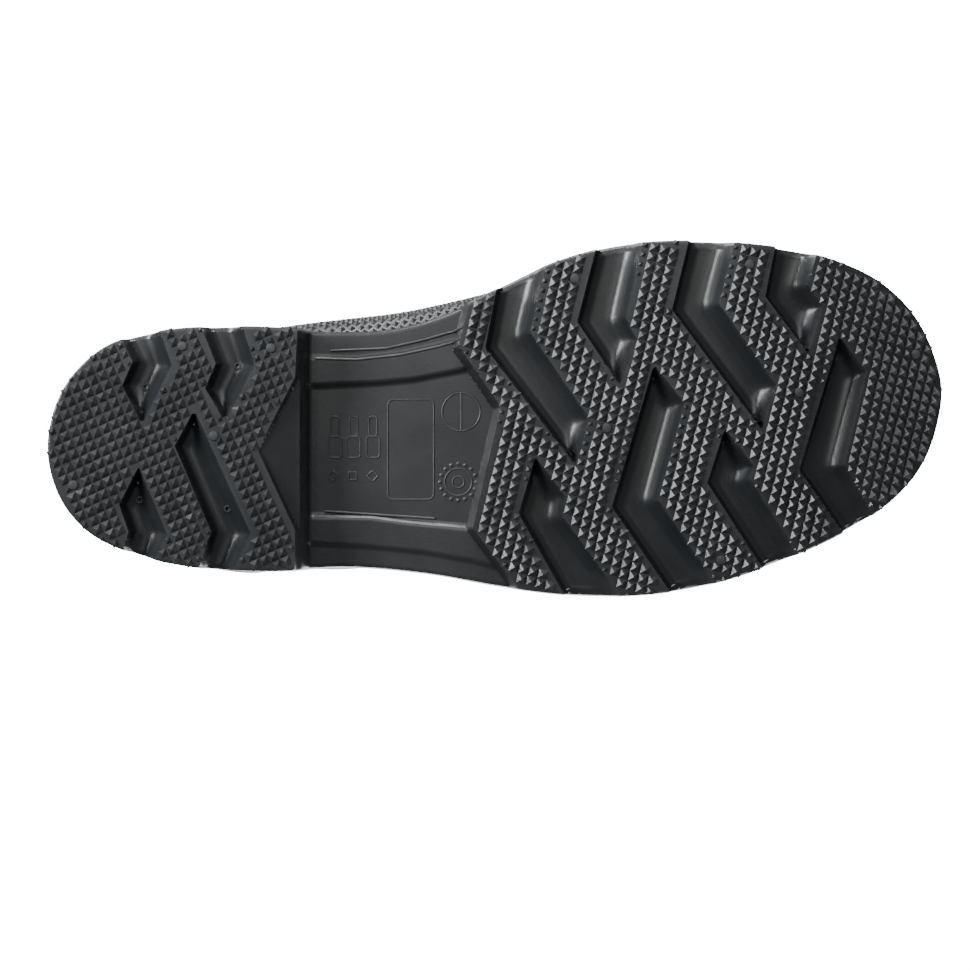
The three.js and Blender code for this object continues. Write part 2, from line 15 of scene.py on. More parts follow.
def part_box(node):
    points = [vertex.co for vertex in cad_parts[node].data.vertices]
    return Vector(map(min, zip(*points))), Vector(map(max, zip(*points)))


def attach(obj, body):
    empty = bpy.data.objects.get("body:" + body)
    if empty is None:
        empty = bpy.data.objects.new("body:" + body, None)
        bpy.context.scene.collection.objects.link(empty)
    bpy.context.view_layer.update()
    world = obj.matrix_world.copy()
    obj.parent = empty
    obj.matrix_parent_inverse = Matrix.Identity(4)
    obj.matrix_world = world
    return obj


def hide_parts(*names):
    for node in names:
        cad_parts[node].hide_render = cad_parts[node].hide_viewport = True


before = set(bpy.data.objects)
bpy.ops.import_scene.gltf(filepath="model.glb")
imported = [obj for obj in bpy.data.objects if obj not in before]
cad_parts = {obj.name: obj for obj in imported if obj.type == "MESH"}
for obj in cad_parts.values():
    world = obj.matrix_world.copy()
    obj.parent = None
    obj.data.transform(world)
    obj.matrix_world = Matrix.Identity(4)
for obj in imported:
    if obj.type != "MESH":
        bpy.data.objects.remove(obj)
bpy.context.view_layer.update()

MM = 0.001
SOLE_LOW, SOLE_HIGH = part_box("outsole")
MEDIAL_REACH = 71.0  # the ball's medial edge from the heel's centre line
SHIFT = np.array([SOLE_LOW.x / MM, SOLE_LOW.y / MM + MEDIAL_REACH, 0.0])
chance = np.random.default_rng(7)

# ---- driving dimensions, millimetres ----------------------------------------------------------
LINING = 1.8
SHELL_IN = 2.1
SHELL_OUT = 4.3
CAP_BUMP = 2.2
CAP_BACK = 233
STIFFENER_BUMP = 2.1
STIFFENER_REACH = 62
STIFFENER_TOP = 113
TREAD_DEPTH = 6.5
HEEL_TREAD_DEPTH = 6.8
RIM_RISE = 1.5
KNURL_PITCH = 3.35
KNURL_HEIGHT = 1.2
FOXING_LOW = 1.5
FOXING_HIGH = 16.5
FOXING_THICKNESS = 2.9
GUARD_THICKNESS = 2.0
PATCH_THICKNESS = 1.4
STRAP_THICKNESS = 1.7

OUTLINE = [
    [0, 0], [4.5, 17.5], [14, 28.6], [28, 35.6], [48, 40.3], [75, 41.8], [103, 40.8], [130, 43],
    [155, 47.2], [180, 50], [205, 49.7], [228, 45.8], [250, 38.5],
    [272, 28.8], [290, 17], [301, 3.5],
    [307, -19], [303.5, -34.5], [296, -47.5], [283, -58.5], [262, -66.5], [240, -69.9], [214, -71],
    [192, -69], [172, -63.3], [152, -54], [135, -46], [116, -41.2], [95, -40.6], [66, -41.8],
    [38, -40.2], [19, -34.5], [5, -20],
]
SEAT = [
    [-20, 35.5], [60, 35], [95, 33.5], [130, 27.5], [160, 22.5], [190, 20.5], [215, 20.6],
    [240, 22.6], [262, 26], [285, 30.2], [325, 38],
]
UNDERSIDE = [[-20, 0], [236, 0], [250, 0.8], [265, 2.3], [280, 4.8],
    [294, 8.05], [308, 11.5], [325, 15.5]]
WAIST = [[80, 17.9], [90, 17.5], [105, 15.75], [125, 12.25], [140, 9.6], [170, 6.5]]
# Stations of the last from toe to collar: front end, back end, sides, squareness at back and front.
STATIONS = [
    [295, 46, 295, 46, -19, -19, 2.2, 2.2], [293, 56, 293, 37.5, -33, -6, 2.6, 2.2],
    [288, 64, 288, 33, -42, 1, 3.2, 2.2], [278, 70, 278, 29.3, -49, 11, 4, 2.2],
    [262, 74.5, 262, 26, -56, 23, 4.6, 2.2], [242, 78, 240, 22.6, -60.5, 32, 5, 2.2],
    [222, 83, 215, 20.6, -62, 39, 5, 2.2], [203, 91, 186, 20.6, -59, 41, 5, 2.2],
    [184, 101, 152, 23.6, -52, 39.5, 4.6, 2.2], [166, 113, 112, 31.3, -45, 37, 4.2, 2.2],
    [150, 128, 72, 35, -42, 36.5, 3.6, 2.2], [138, 144, 38, 36, -39.6, 37, 3, 2.2],
    [131, 160, 15, 47, -38, 38, 2.5, 2.2], [128, 176, 9, 75, -39, 38.5, 2.3, 2.2],
    [128, 193, 11, 108, -40, 39.5, 2.2, 2.2], [131, 215, 14, 150, -42.5, 40, 2.2, 2.2],
    [137, 245, 13, 200, -45.5, 42.5, 2.2, 2.2], [143, 282, 9, 262, -48.5, 45, 2.2, 2.2],
    [148, 330, 6, 330, -51, 47, 2.2, 2.2],
]
GROOVES = {
    "medial_1": [[154.7, -63.1], [149.2, -34.4], [180.1, 6], [184.7, -10],
        [164.4, -39.7], [171.5, -69.5]],
    "medial_2": [[188.6, -74.8], [180.5, -43.2], [195.2, -21.2],
        [200.8, -37.3], [197, -44.4], [204.5, -77.8]],
    "medial_3": [[220.2, -77.7], [212.8, -47.3], [243.8, -5.8],
        [248.6, -21.3], [228.7, -49.5], [236.1, -78]],
    "medial_4": [[249.5, -76.5], [244.6, -51.8], [259.5, -32.2],
        [264.7, -48.6], [259.2, -55.9], [264.7, -73.6]],
    "lateral_1": [[180.3, 57.4], [160.6, 22.2], [166.2, 2.8], [176.5, 16.3],
        [175.6, 23.3], [200.3, 56.7]],
    "lateral_2": [[217, 55.9], [192.3, 19.9], [206.6, -28.6], [217, -15.5],
        [208.1, 17.5], [231.8, 51.8]],
    "lateral_3": [[248.1, 47.6], [224.8, 11.7], [230.8, -7], [240.7, 6],
        [239.5, 10.6], [260.6, 43.3]],
    "lateral_4": [[275.6, 34.5], [256.3, 7.2], [270.4, -38.5],
        [280.1, -26.1], [272.2, 5.5], [287.1, 30.2]],
    "heel_medial_1": [[21.4, -44.8], [29.1, -29.6], [25.5, -21.4],
        [32.3, -8], [42.4, -28.3], [35.6, -48.5]],
    "heel_medial_2": [[49.2, -50.1], [57.4, -28.9], [53.8, -20.5],
        [60.6, -9], [70.7, -28.3], [63.8, -50.3]],
    "heel_lateral_1": [[23.2, 43.5], [27.7, 28.4], [24.5, 19], [31.2, 6],
        [40.8, 29.1], [33.3, 46.5]],
    "heel_lateral_2": [[49, 48.7], [55.8, 28.4], [43.4, -0.9],
        [50.1, -13.2], [69.4, 29.1], [59.7, 49.6]],
}
HEEL_NOTCH = [[86.1, -60], [84.4, -24.3], [71.7, 0.5], [84.4, 27.7],
    [84.1, 60], [100, 60], [100, -60]]
WAIST_PLAN = [
    [86.4, -62], [154, -62], [153.2, -54.6], [144, -50.5], [140.2, -34.9], [154.5, -14.1],
    [145, 27.1], [161, 48.2], [163, 60], [86.4, 60],
]
MEDIAL_LINE = [[95.3, -34.2], [114.7, -34.9], [127.6, -37.6], [141.6, -41.4]]
MEDIAL_RAIL = [[90.2, -31.5], [104.5, -31], [119.5, -32.5], [132.8, -35.2], [140.2, -37.3]]
MEDIAL_STEP = [[90.2, -22.6], [112.7, -23.5], [124.2, -24.5], [143.7, -28.1]]
LATERAL_RAIL = [[88.8, 23.7], [109.6, 24], [122.5, 25.7], [144.7, 27.7]]
LATERAL_STEP = [[88.8, 32.2], [107.6, 33.2], [127.6, 35.1], [145, 38], [152, 40]]
DISCS = [
    [179.7, -58], [190.6, -7], [46, -34.9], [76.2, -34.2], [239.3, -62.8], [256.2, -19.1],
    [297.4, -32.6], [229.6, 38], [8.9, 12.4], [56.7, -4.3],
]
PIN_MARKS = [[32.8, -21.3], [64.2, -28.4], [30.5, 17.5], [60.8, 20.6]]


# ---- curves and distances ---------------------------------------------------------------------
def spline(points, at, closed=False, uniform=False):
    """Catmull-Rom curve through points, at shares 0 to 1 of its spans. It is centripetal unless
    uniform."""
    p = np.array(points, float)
    count = len(p)
    spans = count if closed else count - 1
    place = np.asarray(at, float) * spans
    if closed:
        first = np.floor(place).astype(int) % count
        t = place - np.floor(place)
        a, b, c, d = (p[(first + k) % count] for k in (-1, 0, 1, 2))
    else:
        wide = np.vstack([2 * p[0] - p[1], p, 2 * p[-1] - p[-2]])
        first = np.minimum(np.floor(place).astype(int), spans - 1)
        t = place - first
        a, b, c, d = (wide[first + k] for k in (0, 1, 2, 3))
    if uniform:
        start, end = (c - a) / 2, (d - b) / 2
    else:
        k0, k1, k2 = (np.maximum(np.linalg.norm(q - r, axis=1) ** 0.5, 1e-4)[:, None]
                      for q, r in ((b, a), (c, b), (d, c)))
        start = ((b - a) / k0 - (c - a) / (k0 + k1) + (c - b) / k1) * k1
        end = ((c - b) / k1 - (d - b) / (k1 + k2) + (d - c) / k2) * k1
    t = t[:, None]
    return (b + start * t + (3 * (c - b) - 2 * start - end) * t ** 2
            + (2 * (b - c) + start + end) * t ** 3)


def smooth(low, high, value):
    """0 below low, 1 above high, and a smooth step between."""
    share = np.clip((np.asarray(value, float) - low) / (high - low), 0, 1)
    return share * share * (3 - 2 * share)


def polygon_distance(points, polygon):
    """Distance inside a polygon, negative outside, and the unit direction away from its edge."""
    p = np.asarray(points, float)[:, :2]
    corners = np.array(polygon, float)
    best = np.full(len(p), 1e9)
    away = np.zeros((len(p), 2))
    inside = np.zeros(len(p), bool)
    for a, b in zip(corners, np.roll(corners, -1, axis=0)):
        edge = b - a
        share = np.clip(((p - a) @ edge) / (edge @ edge), 0, 1)
        step = p - (a + share[:, None] * edge)
        far = np.linalg.norm(step, axis=1)
        near = far < best
        best[near] = far[near]
        away[near] = step[near] / np.maximum(far[near], 1e-6)[:, None]
        rise = b[1] - a[1] if abs(b[1] - a[1]) > 1e-9 else 1e-9
        crosses = (a[1] > p[:, 1]) != (b[1] > p[:, 1])
        inside ^= crosses & (p[:, 0] < a[0] + (p[:, 1] - a[1]) * (b[0] - a[0]) / rise)
    return np.where(inside, best, -best), away


EDGE = spline(OUTLINE, np.linspace(0, 1, 1200, endpoint=False), closed=True)
EDGE = np.roll(EDGE, -int(np.argmin(EDGE[:, 0])), axis=0)
TIP = int(np.argmax(EDGE[:, 0]))
EDGE_ALONG = np.roll(EDGE, -1, axis=0) - np.roll(EDGE, 1, axis=0)
EDGE_OUT = np.stack([EDGE_ALONG[:, 1], -EDGE_ALONG[:, 0]], axis=1)
EDGE_OUT /= np.linalg.norm(EDGE_OUT, axis=1, keepdims=True)
EDGE_OUT *= np.sign((EDGE_OUT * (EDGE - EDGE.mean(axis=0))).sum())
SEAT_LINE = spline(SEAT, np.linspace(0, 1, 300))
UNDER_LINE = spline(UNDERSIDE, np.linspace(0, 1, 300))
WAIST_LINE = spline(WAIST, np.linspace(0, 1, 100))


def seat(x):
    return np.interp(x, SEAT_LINE[:, 0], SEAT_LINE[:, 1])


def underside(x):
    return np.interp(x, UNDER_LINE[:, 0], np.maximum(UNDER_LINE[:, 1], 0))


def across_at(line, x):
    """Where a line of the waist lies across at x."""
    points = np.array(line, float)
    return np.interp(x, points[:, 0], points[:, 1])


def side_of_sole(x, lateral):
    """Where the sole's edge lies across at x."""
    part = EDGE[: TIP + 1] if lateral else np.vstack([EDGE[TIP:], EDGE[:1]])[::-1]
    return np.interp(x, part[:, 0], part[:, 1])


def edge_distance(points):
    """Distance of each point from the sole's edge, positive inside."""
    p = np.asarray(points, float)[:, :2]
    far = np.empty(len(p))
    for i in range(0, len(p), 2000):
        part = p[i:i + 2000]
        step = part[:, None, :] - EDGE[None, :, :]
        far[i:i + 2000] = np.sqrt((step ** 2).sum(axis=2).min(axis=1))
    low, high = side_of_sole(p[:, 0], False), side_of_sole(p[:, 0], True)
    inside = (p[:, 1] > low) & (p[:, 1] < high) & (p[:, 0] > 0) & (p[:, 0] < EDGE[TIP, 0])
    return np.where(inside, far, -far)


# ---- meshes -----------------------------------------------------------------------------------
def new_object(name, points, faces, material, shade=True):
    """A mesh object of points given in the sole's frame."""
    mesh = bpy.data.meshes.new(name)
    mesh.from_pydata(((np.asarray(points, float) + SHIFT) * MM).tolist(), [], faces)
    made = bpy.data.objects.new(name, mesh)
    bpy.context.scene.collection.objects.link(made)
    mesh.polygons.foreach_set("use_smooth", [shade] * len(mesh.polygons))
    if material:
        mesh.materials.append(material)
    return made


def clean(made, sharp=None):
    """Merges doubled points, turns the faces of a closed mesh outwards and marks sharp edges."""
    work = bmesh.new()
    work.from_mesh(made.data)
    bmesh.ops.remove_doubles(work, verts=work.verts, dist=3e-6)
    bmesh.ops.dissolve_degenerate(work, edges=work.edges, dist=1e-6)
    bmesh.ops.recalc_face_normals(work, faces=work.faces)
    work.to_mesh(made.data)
    work.free()
    if sharp:
        made.data.set_sharp_from_angle(angle=math.radians(sharp))
    return made


def finish_piece(made, body, slot, *nodes):
    """Gives a piece its body and hides the CAD nodes that it stands for; slot is not used."""
    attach(made, body)
    if nodes:
        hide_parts(*nodes)
    return made


def grid_faces(rows, columns, around=False, offset=0, flip=False):
    """Quads of a grid of points; around joins its last column to its first."""
    r, c = np.meshgrid(np.arange(rows - 1), np.arange(columns if around else columns - 1),
                       indexing="ij")
    r, c = r.ravel(), c.ravel()
    n = (c + 1) % columns
    quads = np.stack([r * columns + c, r * columns + n, (r + 1) * columns + n,
                      (r + 1) * columns + c], axis=1) + offset
    return (quads[:, ::-1] if flip else quads).tolist()


def grid_normals(grid, around=False):
    """Unit normals of a grid of points."""
    if around:
        wide = np.concatenate([grid[:, -1:], grid, grid[:, :1]], axis=1)
        across = (wide[:, 2:] - wide[:, :-2]) / 2
    else:
        across = np.gradient(grid, axis=1)
    normal = np.cross(across, np.gradient(grid, axis=0))
    length = np.linalg.norm(normal, axis=2, keepdims=True)
    for r, neighbour in ((0, 1), (-1, -2)):
        if length[r].max() < 1e-6:
            normal[r] = normal[neighbour].mean(axis=0)
    return normal / np.maximum(np.linalg.norm(normal, axis=2, keepdims=True), 1e-9)


def lay_uv(made, grid, around=False):
    """A flat map of a grid's first faces in metres, along its rows and down its columns."""
    rows, columns = grid.shape[:2]
    loop = np.concatenate([grid, grid[:, :1]], axis=1) if around else grid
    steps = np.linalg.norm(np.diff(loop, axis=1), axis=2).mean(axis=0)
    u = np.concatenate([[0], np.cumsum(steps)]) * MM
    drops = np.linalg.norm(np.diff(grid, axis=0), axis=2).mean(axis=1)
    v = np.concatenate([[0], np.cumsum(drops)]) * MM
    r, c = np.meshgrid(np.arange(rows - 1), np.arange(len(u) - 1), indexing="ij")
    r, c = r.ravel(), c.ravel()
    corners = np.stack([np.stack([u[c], v[r]], 1), np.stack([u[c + 1], v[r]], 1),
                        np.stack([u[c + 1], v[r + 1]], 1), np.stack([u[c], v[r + 1]], 1)], axis=1)
    one = corners.reshape(-1, 2)
    layer = made.data.uv_layers.new(name="UVMap")
    values = np.zeros((len(made.data.loops), 2))
    values[: len(one)] = one
    second = one.reshape(-1, 4, 2)[:, ::-1].reshape(-1, 2)
    if len(values) >= 2 * len(one):
        values[len(one): 2 * len(one)] = second
    layer.data.foreach_set("uv", values.ravel())


def sheet_between(name, outer, inner, material, around=False, open_rows=()):
    """A closed body between two grids of points of the same size. open_rows lists end rows that
    close on themselves, such as a toe's tip, and need no wall."""
    rows, columns = outer.shape[:2]
    count = rows * columns
    faces = grid_faces(rows, columns, around) + grid_faces(rows, columns, around, count, True)
    lines = []
    for r in (0, rows - 1):
        if r not in open_rows:
            lines.append([r * columns + c % columns for c in range(columns + (1 if around else 0))])
    if not around:
        for c in (0, columns - 1):
            lines.append([r * columns + c for r in range(rows)])
    for line in lines:
        faces += [[a, b, b + count, a + count] for a, b in zip(line, line[1:])]
    points = np.concatenate([outer.reshape(-1, 3), inner.reshape(-1, 3)])
    made = new_object(name, points, faces, material)
    lay_uv(made, outer, around)
    return clean(made, 50)


def blanket(name, grid, depth, material, outward, around=False, sink=0.5, open_rows=()):
    """A closed layer on a surface grid: depth outwards at each point, sink inwards. outward is a
    rough direction, or a point grid of directions, that tells the outside."""
    normal = grid_normals(grid, around)
    if (normal * outward).sum() < 0:
        normal = -normal
    depth = np.broadcast_to(depth, grid.shape[:2])
    top = grid + normal * depth[..., None]
    low = grid - normal * sink
    return sheet_between(name, top, low, material, around, open_rows)


def boot_layer(name, slot, node, *shape, **more):
    """A blanket on the boot that stands for one CAD node."""
    return finish_piece(blanket(name, *shape, **more), "boot", slot, node)


def border_depth(along, across, depth, radius=1.4):
    """Thickness over a patch that rounds down to nothing at its border. along and across are the
    distances of its rows and columns; across is None on a patch that closes on itself."""
    a = np.minimum(along - along[0], along[-1] - along)[:, None]
    b = np.minimum(across - across[0], across[-1] - across)[None, :] if across is not None else 1e3
    near = np.clip(np.minimum(a, b) / radius, 0, 1)
    return depth * np.sqrt(1 - (1 - near) ** 2)


def spread(low, high, step, fine=(0.0, 0.3, 0.7, 1.4)):
    """Distances from low to high, close together near both ends."""
    count = max(int(round((high - low - 2 * fine[-1]) / step)), 1)
    middle = np.linspace(low + fine[-1], high - fine[-1], count + 1)
    return np.concatenate([low + np.array(fine[:-1]), middle, high - np.array(fine[:-1])[::-1]])


def lathe(name, profile, places, material, steps=20):
    """Turned pieces round the z axis at each place. profile lists radius and height pairs and
    starts and ends on the axis."""
    points, faces = [], []
    ring = np.linspace(0, 2 * math.pi, steps, endpoint=False)
    for place in places:
        base = len(points)
        for radius, height in profile:
            points += [[place[0] + radius * math.cos(a), place[1] + radius * math.sin(a),
                        place[2] + height] for a in ring]
        faces += grid_faces(len(profile), steps, True, base)
    return clean(new_object(name, points, faces, material), 40)


# ---- nodes ------------------------------------------------------------------------------------
SOCKETS = {"Geometry": "NodeSocketGeometry", "Material": "NodeSocketMaterial",
           "Vector": "NodeSocketVector"}


def add_node(tree, kind, feeds=(), **settings):
    """A node with its settings made and its inputs fed with values or other nodes' outputs."""
    made = tree.nodes.new(kind)
    for label, value in settings.items():
        setattr(made, label, value)
    for label, value in dict(feeds).items():
        if isinstance(value, bpy.types.NodeSocket):
            tree.links.new(value, made.inputs[label])
        else:
            made.inputs[label].default_value = value
    return made


def math_node(tree, what, *values):
    return add_node(tree, "ShaderNodeMath", enumerate(values), operation=what).outputs[0]


def new_tree(name, kind, inputs, outputs):
    """An empty group with named sockets; a socket that SOCKETS doesn't list is a number."""
    tree = bpy.data.node_groups.new(name, kind)
    for way, labels in (("INPUT", inputs), ("OUTPUT", outputs)):
        for label in labels:
            kind_of = SOCKETS.get(label, "NodeSocketFloat")
            tree.interface.new_socket(label, in_out=way, socket_type=kind_of)
    return tree, tree.nodes.new("NodeGroupInput").outputs, tree.nodes.new("NodeGroupOutput").inputs


def geometry_tree(name, *sizes):
    """A geometry tree that takes a mesh, named sizes and a material."""
    return new_tree(name, "GeometryNodeTree", ("Geometry", *sizes, "Material"), ("Geometry",))


def close_tree(tree, source, given, out, smoothed):
    """Ends a tree in real mesh faces with the given material."""
    real = add_node(tree, "GeometryNodeRealizeInstances", {0: source.outputs[0]})
    shade = add_node(tree, "GeometryNodeSetShadeSmooth",
                     {"Geometry": real.outputs[0], "Shade Smooth": smoothed})
    finish = add_node(tree, "GeometryNodeSetMaterial",
                      {"Geometry": shade.outputs[0], "Material": given["Material"]})
    tree.links.new(finish.outputs[0], out[0])
    return tree


def knurl_tree():
    """Square pyramids standing on points, turned and sized by the points' own attributes."""
    tree, given, out = geometry_tree("Knurl", "Pitch", "Height", "Tip")
    half = math.sqrt(0.5)
    cone = add_node(tree, "GeometryNodeMeshCone", {
        "Vertices": 4, "Radius Bottom": math_node(tree, "MULTIPLY", given["Pitch"], half),
        "Radius Top": math_node(tree, "MULTIPLY", given["Tip"], half), "Depth": given["Height"]})
    turn, size = (
        add_node(tree, "GeometryNodeInputNamedAttribute", {"Name": label},
                 data_type="FLOAT_VECTOR").outputs["Attribute"] for label in ("turn", "size"))
    euler = add_node(tree, "FunctionNodeEulerToRotation", {0: turn})
    place = add_node(tree, "GeometryNodeInstanceOnPoints", {
        "Points": given["Geometry"], "Instance": cone.outputs["Mesh"],
        "Rotation": euler.outputs[0], "Scale": size})
    return close_tree(tree, place, given, out, False)


def line_tree():
    """Round raised lines along the edges of a mesh."""
    tree, given, out = geometry_tree("Moulded line", "Radius")
    path = add_node(tree, "GeometryNodeMeshToCurve", {"Mesh": given["Geometry"]})
    ring = add_node(tree, "GeometryNodeCurvePrimitiveCircle",
                    {"Resolution": 8, "Radius": given["Radius"]})
    tube = add_node(tree, "GeometryNodeCurveToMesh", {
        "Curve": path.outputs[0], "Profile Curve": ring.outputs["Curve"], "Fill Caps": True})
    return close_tree(tree, tube, given, out, True)


def stitch_tree():
    """Short rounded stitches at even steps along the edges of a mesh."""
    tree, given, out = geometry_tree("Stitches", "Step", "Length", "Thickness")
    path = add_node(tree, "GeometryNodeMeshToCurve", {"Mesh": given["Geometry"]})
    points = add_node(tree, "GeometryNodeCurveToPoints",
                      {"Curve": path.outputs[0], "Length": given["Step"]}, mode="LENGTH")
    align = add_node(tree, "FunctionNodeAlignRotationToVector",
                     {"Vector": points.outputs["Tangent"]}, axis="Z")
    ball = add_node(tree, "GeometryNodeMeshUVSphere", {"Segments": 6, "Rings": 5, "Radius": 0.5})
    size = add_node(tree, "ShaderNodeCombineXYZ", {
        "X": given["Thickness"], "Y": given["Thickness"], "Z": given["Length"]})
    place = add_node(tree, "GeometryNodeInstanceOnPoints", {
        "Points": points.outputs["Points"], "Instance": ball.outputs["Mesh"],
        "Rotation": align.outputs[0], "Scale": size.outputs[0]})
    return close_tree(tree, place, given, out, True)


KNURL = knurl_tree()
LINES = line_tree()
STITCHES = stitch_tree()


def grow(name, tree, carrier, material, **sizes):
    """The plain mesh that a tree makes of a carrier object, which is removed."""
    held = carrier.modifiers.new(name, "NODES")
    held.node_group = tree
    for socket in tree.interface.items_tree:
        if socket.in_out == "INPUT" and socket.name in sizes:
            held[socket.identifier] = float(sizes[socket.name])
        elif socket.in_out == "INPUT" and socket.name == "Material":
            held[socket.identifier] = material
    graph = bpy.context.evaluated_depsgraph_get()
    graph.update()
    mesh = bpy.data.meshes.new_from_object(carrier.evaluated_get(graph))
    carrier.modifiers.remove(held)
    made = bpy.data.objects.new(name, mesh)
    mesh.name = name
    bpy.context.scene.collection.objects.link(made)
    bpy.data.objects.remove(carrier)
    return made


def pyramids(name, places, across, outward, pitch, height, material, tip=0.12, size=None):
    """Rows of pyramids: across is each one's direction of rows, outward where its tip points."""
    carrier = new_object(name + "_points", places, [], None)
    outward = outward / np.linalg.norm(outward, axis=1, keepdims=True)
    across = across - outward * (across * outward).sum(axis=1, keepdims=True)
    across /= np.linalg.norm(across, axis=1, keepdims=True)
    turns = []
    corner = Matrix.Rotation(math.radians(45), 3, "Z")
    for x, z in zip(across, outward):
        frame_of = Matrix((Vector(x), Vector(np.cross(z, x)), Vector(z))).transposed()
        turns.append(tuple((frame_of @ corner).to_euler()))
    size = np.ones((len(places), 3)) if size is None else size
    for attribute, values in (("turn", np.array(turns)), ("size", size)):
        made = carrier.data.attributes.new(attribute, "FLOAT_VECTOR", "POINT")
        made.data.foreach_set("vector", values.astype(np.float32).ravel())
    return grow(name, KNURL, carrier, material, Pitch=pitch * MM, Height=height * MM, Tip=tip * MM)


def raised_lines(name, paths, radius, material, tree=None, **sizes):
    """Raised round lines, or stitches, along paths of points."""
    points, edges = [], []
    for path in paths:
        base = len(points)
        points += [list(p) for p in path]
        edges += [[base + i, base + i + 1] for i in range(len(path) - 1)]
    mesh = bpy.data.meshes.new(name)
    mesh.from_pydata(((np.array(points, float) + SHIFT) * MM).tolist(), edges, [])
    carrier = bpy.data.objects.new(name + "_paths", mesh)
    bpy.context.scene.collection.objects.link(carrier)
    if tree is None:
        return grow(name, LINES, carrier, material, Radius=radius * MM)
    return grow(name, tree, carrier, material, **{k: v * MM for k, v in sizes.items()})


# ---- shader groups ----------------------------------------------------------------------------
def ramp(tree, source, *stops):
    """A mask through a colour ramp of position and grey pairs."""
    made = tree.nodes.new("ShaderNodeValToRGB")
    for element, (position, grey) in zip(made.color_ramp.elements, stops):
        element.position = position
        element.color = (grey, grey, grey, 1)
    tree.links.new(source, made.inputs[0])
    return made.outputs[0]


def noise(tree, vector, **feeds):
    return add_node(tree, "ShaderNodeTexNoise", {"Vector": vector, **feeds}).outputs["Fac"]


def grain_group():
    """Fine pitting of moulded rubber, with a slow cloudiness over the surface."""
    tree, given, out = new_tree("Rubber grain", "ShaderNodeTree", ("Vector", "Scale"),
                                ("Height", "Cloud"))
    for label, detail, fineness in (("Height", 3, 1800), ("Cloud", 2, 45)):
        scale = math_node(tree, "MULTIPLY", given["Scale"], fineness)
        tree.links.new(noise(tree, given["Vector"], Detail=detail, Scale=scale), out[label])
    return tree


def mask_tree(name, masks):
    """A group whose mask is two masks multiplied together and by its amount."""
    tree, given, out = new_tree(name, "ShaderNodeTree", ("Vector", "Amount"), ("Mask",))
    both = math_node(tree, "MULTIPLY", *masks(tree, given["Vector"]))
    tree.links.new(math_node(tree, "MULTIPLY", both, given["Amount"]), out["Mask"])
    return tree


def wear_and_highlight_masks(tree, vector):
    """Paler convex edges, partly real rubbing and partly a painted edge highlight: 1 on convex
    edges, broken up by noise.
    """
    shape = tree.nodes.new("ShaderNodeNewGeometry")
    return (ramp(tree, shape.outputs["Pointiness"], (0.5, 0), (0.58, 1)),
            ramp(tree, noise(tree, vector, Scale=260), (0.35, 0.2), (0.65, 1)))


def dust_masks(tree, vector):
    """Pale dust: speckles and soft patches."""
    speck = add_node(tree, "ShaderNodeTexVoronoi", {"Vector": vector, "Scale": 900})
    return (ramp(tree, noise(tree, vector, Scale=70, Detail=6), (0.42, 0), (0.72, 1)),
            ramp(tree, speck.outputs["Distance"], (0.08, 1), (0.2, 0.25)))


def weave_group():
    """Over-and-under threads along a flat map, in threads per metre."""
    tree, given, out = new_tree("Weave", "ShaderNodeTree", ("Vector", "Threads"),
                                ("Height", "Mask"))
    split = add_node(tree, "ShaderNodeSeparateXYZ", {0: given["Vector"]})
    waves = []
    for axis in ("X", "Y"):
        turned = math_node(tree, "MULTIPLY", split.outputs[axis], given["Threads"])
        waves.append(math_node(tree, "SINE", math_node(tree, "MULTIPLY", turned, math.pi)))
    product = math_node(tree, "MULTIPLY", *waves)
    tree.links.new(math_node(tree, "ABSOLUTE", product), out["Height"])
    tree.links.new(math_node(tree, "MULTIPLY_ADD", product, 0.5, 0.5), out["Mask"])
    return tree


GRAIN = grain_group()
WEAR_AND_EDGE_HIGHLIGHT = mask_tree("Rubbed edges and painted highlight", wear_and_highlight_masks)
DUST = mask_tree("Dust", dust_masks)
WEAVE = weave_group()


class Finish:
    """A material with its shader, its coordinates and helpers to feed them."""

    def __init__(self, name, use_map=False, **values):
        self.material = bpy.data.materials.new(name)
        self.material.use_nodes = True
        self.tree = self.material.node_tree
        self.shader = self.tree.nodes["Principled BSDF"]
        place = self.tree.nodes.new("ShaderNodeTexCoord")
        self.place = place.outputs["UV" if use_map else "Object"]
        self.height = None
        for label, value in values.items():
            self.shader.inputs[label.replace("_", " ")].default_value = value

    def group(self, tree, **values):
        feeds = {"Vector": self.place, **values}
        return add_node(self.tree, "ShaderNodeGroup", feeds, node_tree=tree).outputs

    def blend(self, a, b, mask):
        a, b = ((*v, 1) if isinstance(v, tuple) else v for v in (a, b))
        feeds = {0: mask, 6: a, 7: b}
        return add_node(self.tree, "ShaderNodeMix", feeds, data_type="RGBA").outputs[2]

    def rough(self, mask, low, high):
        feeds = {"Value": mask, "To Min": low, "To Max": high}
        source = add_node(self.tree, "ShaderNodeMapRange", feeds).outputs[0]
        self.tree.links.new(source, self.shader.inputs["Roughness"])

    def colour(self, source):
        self.tree.links.new(source, self.shader.inputs["Base Color"])

    def bump(self, height, distance):
        """Adds a bump of a distance in millimetres over those already there."""
        feeds = {"Height": height, "Distance": distance * MM}
        if self.height is not None:
            feeds["Normal"] = self.height
        self.height = add_node(self.tree, "ShaderNodeBump", feeds).outputs["Normal"]
        self.tree.links.new(self.height, self.shader.inputs["Normal"])


DUST_COLOUR = (0.3, 0.3, 0.29)


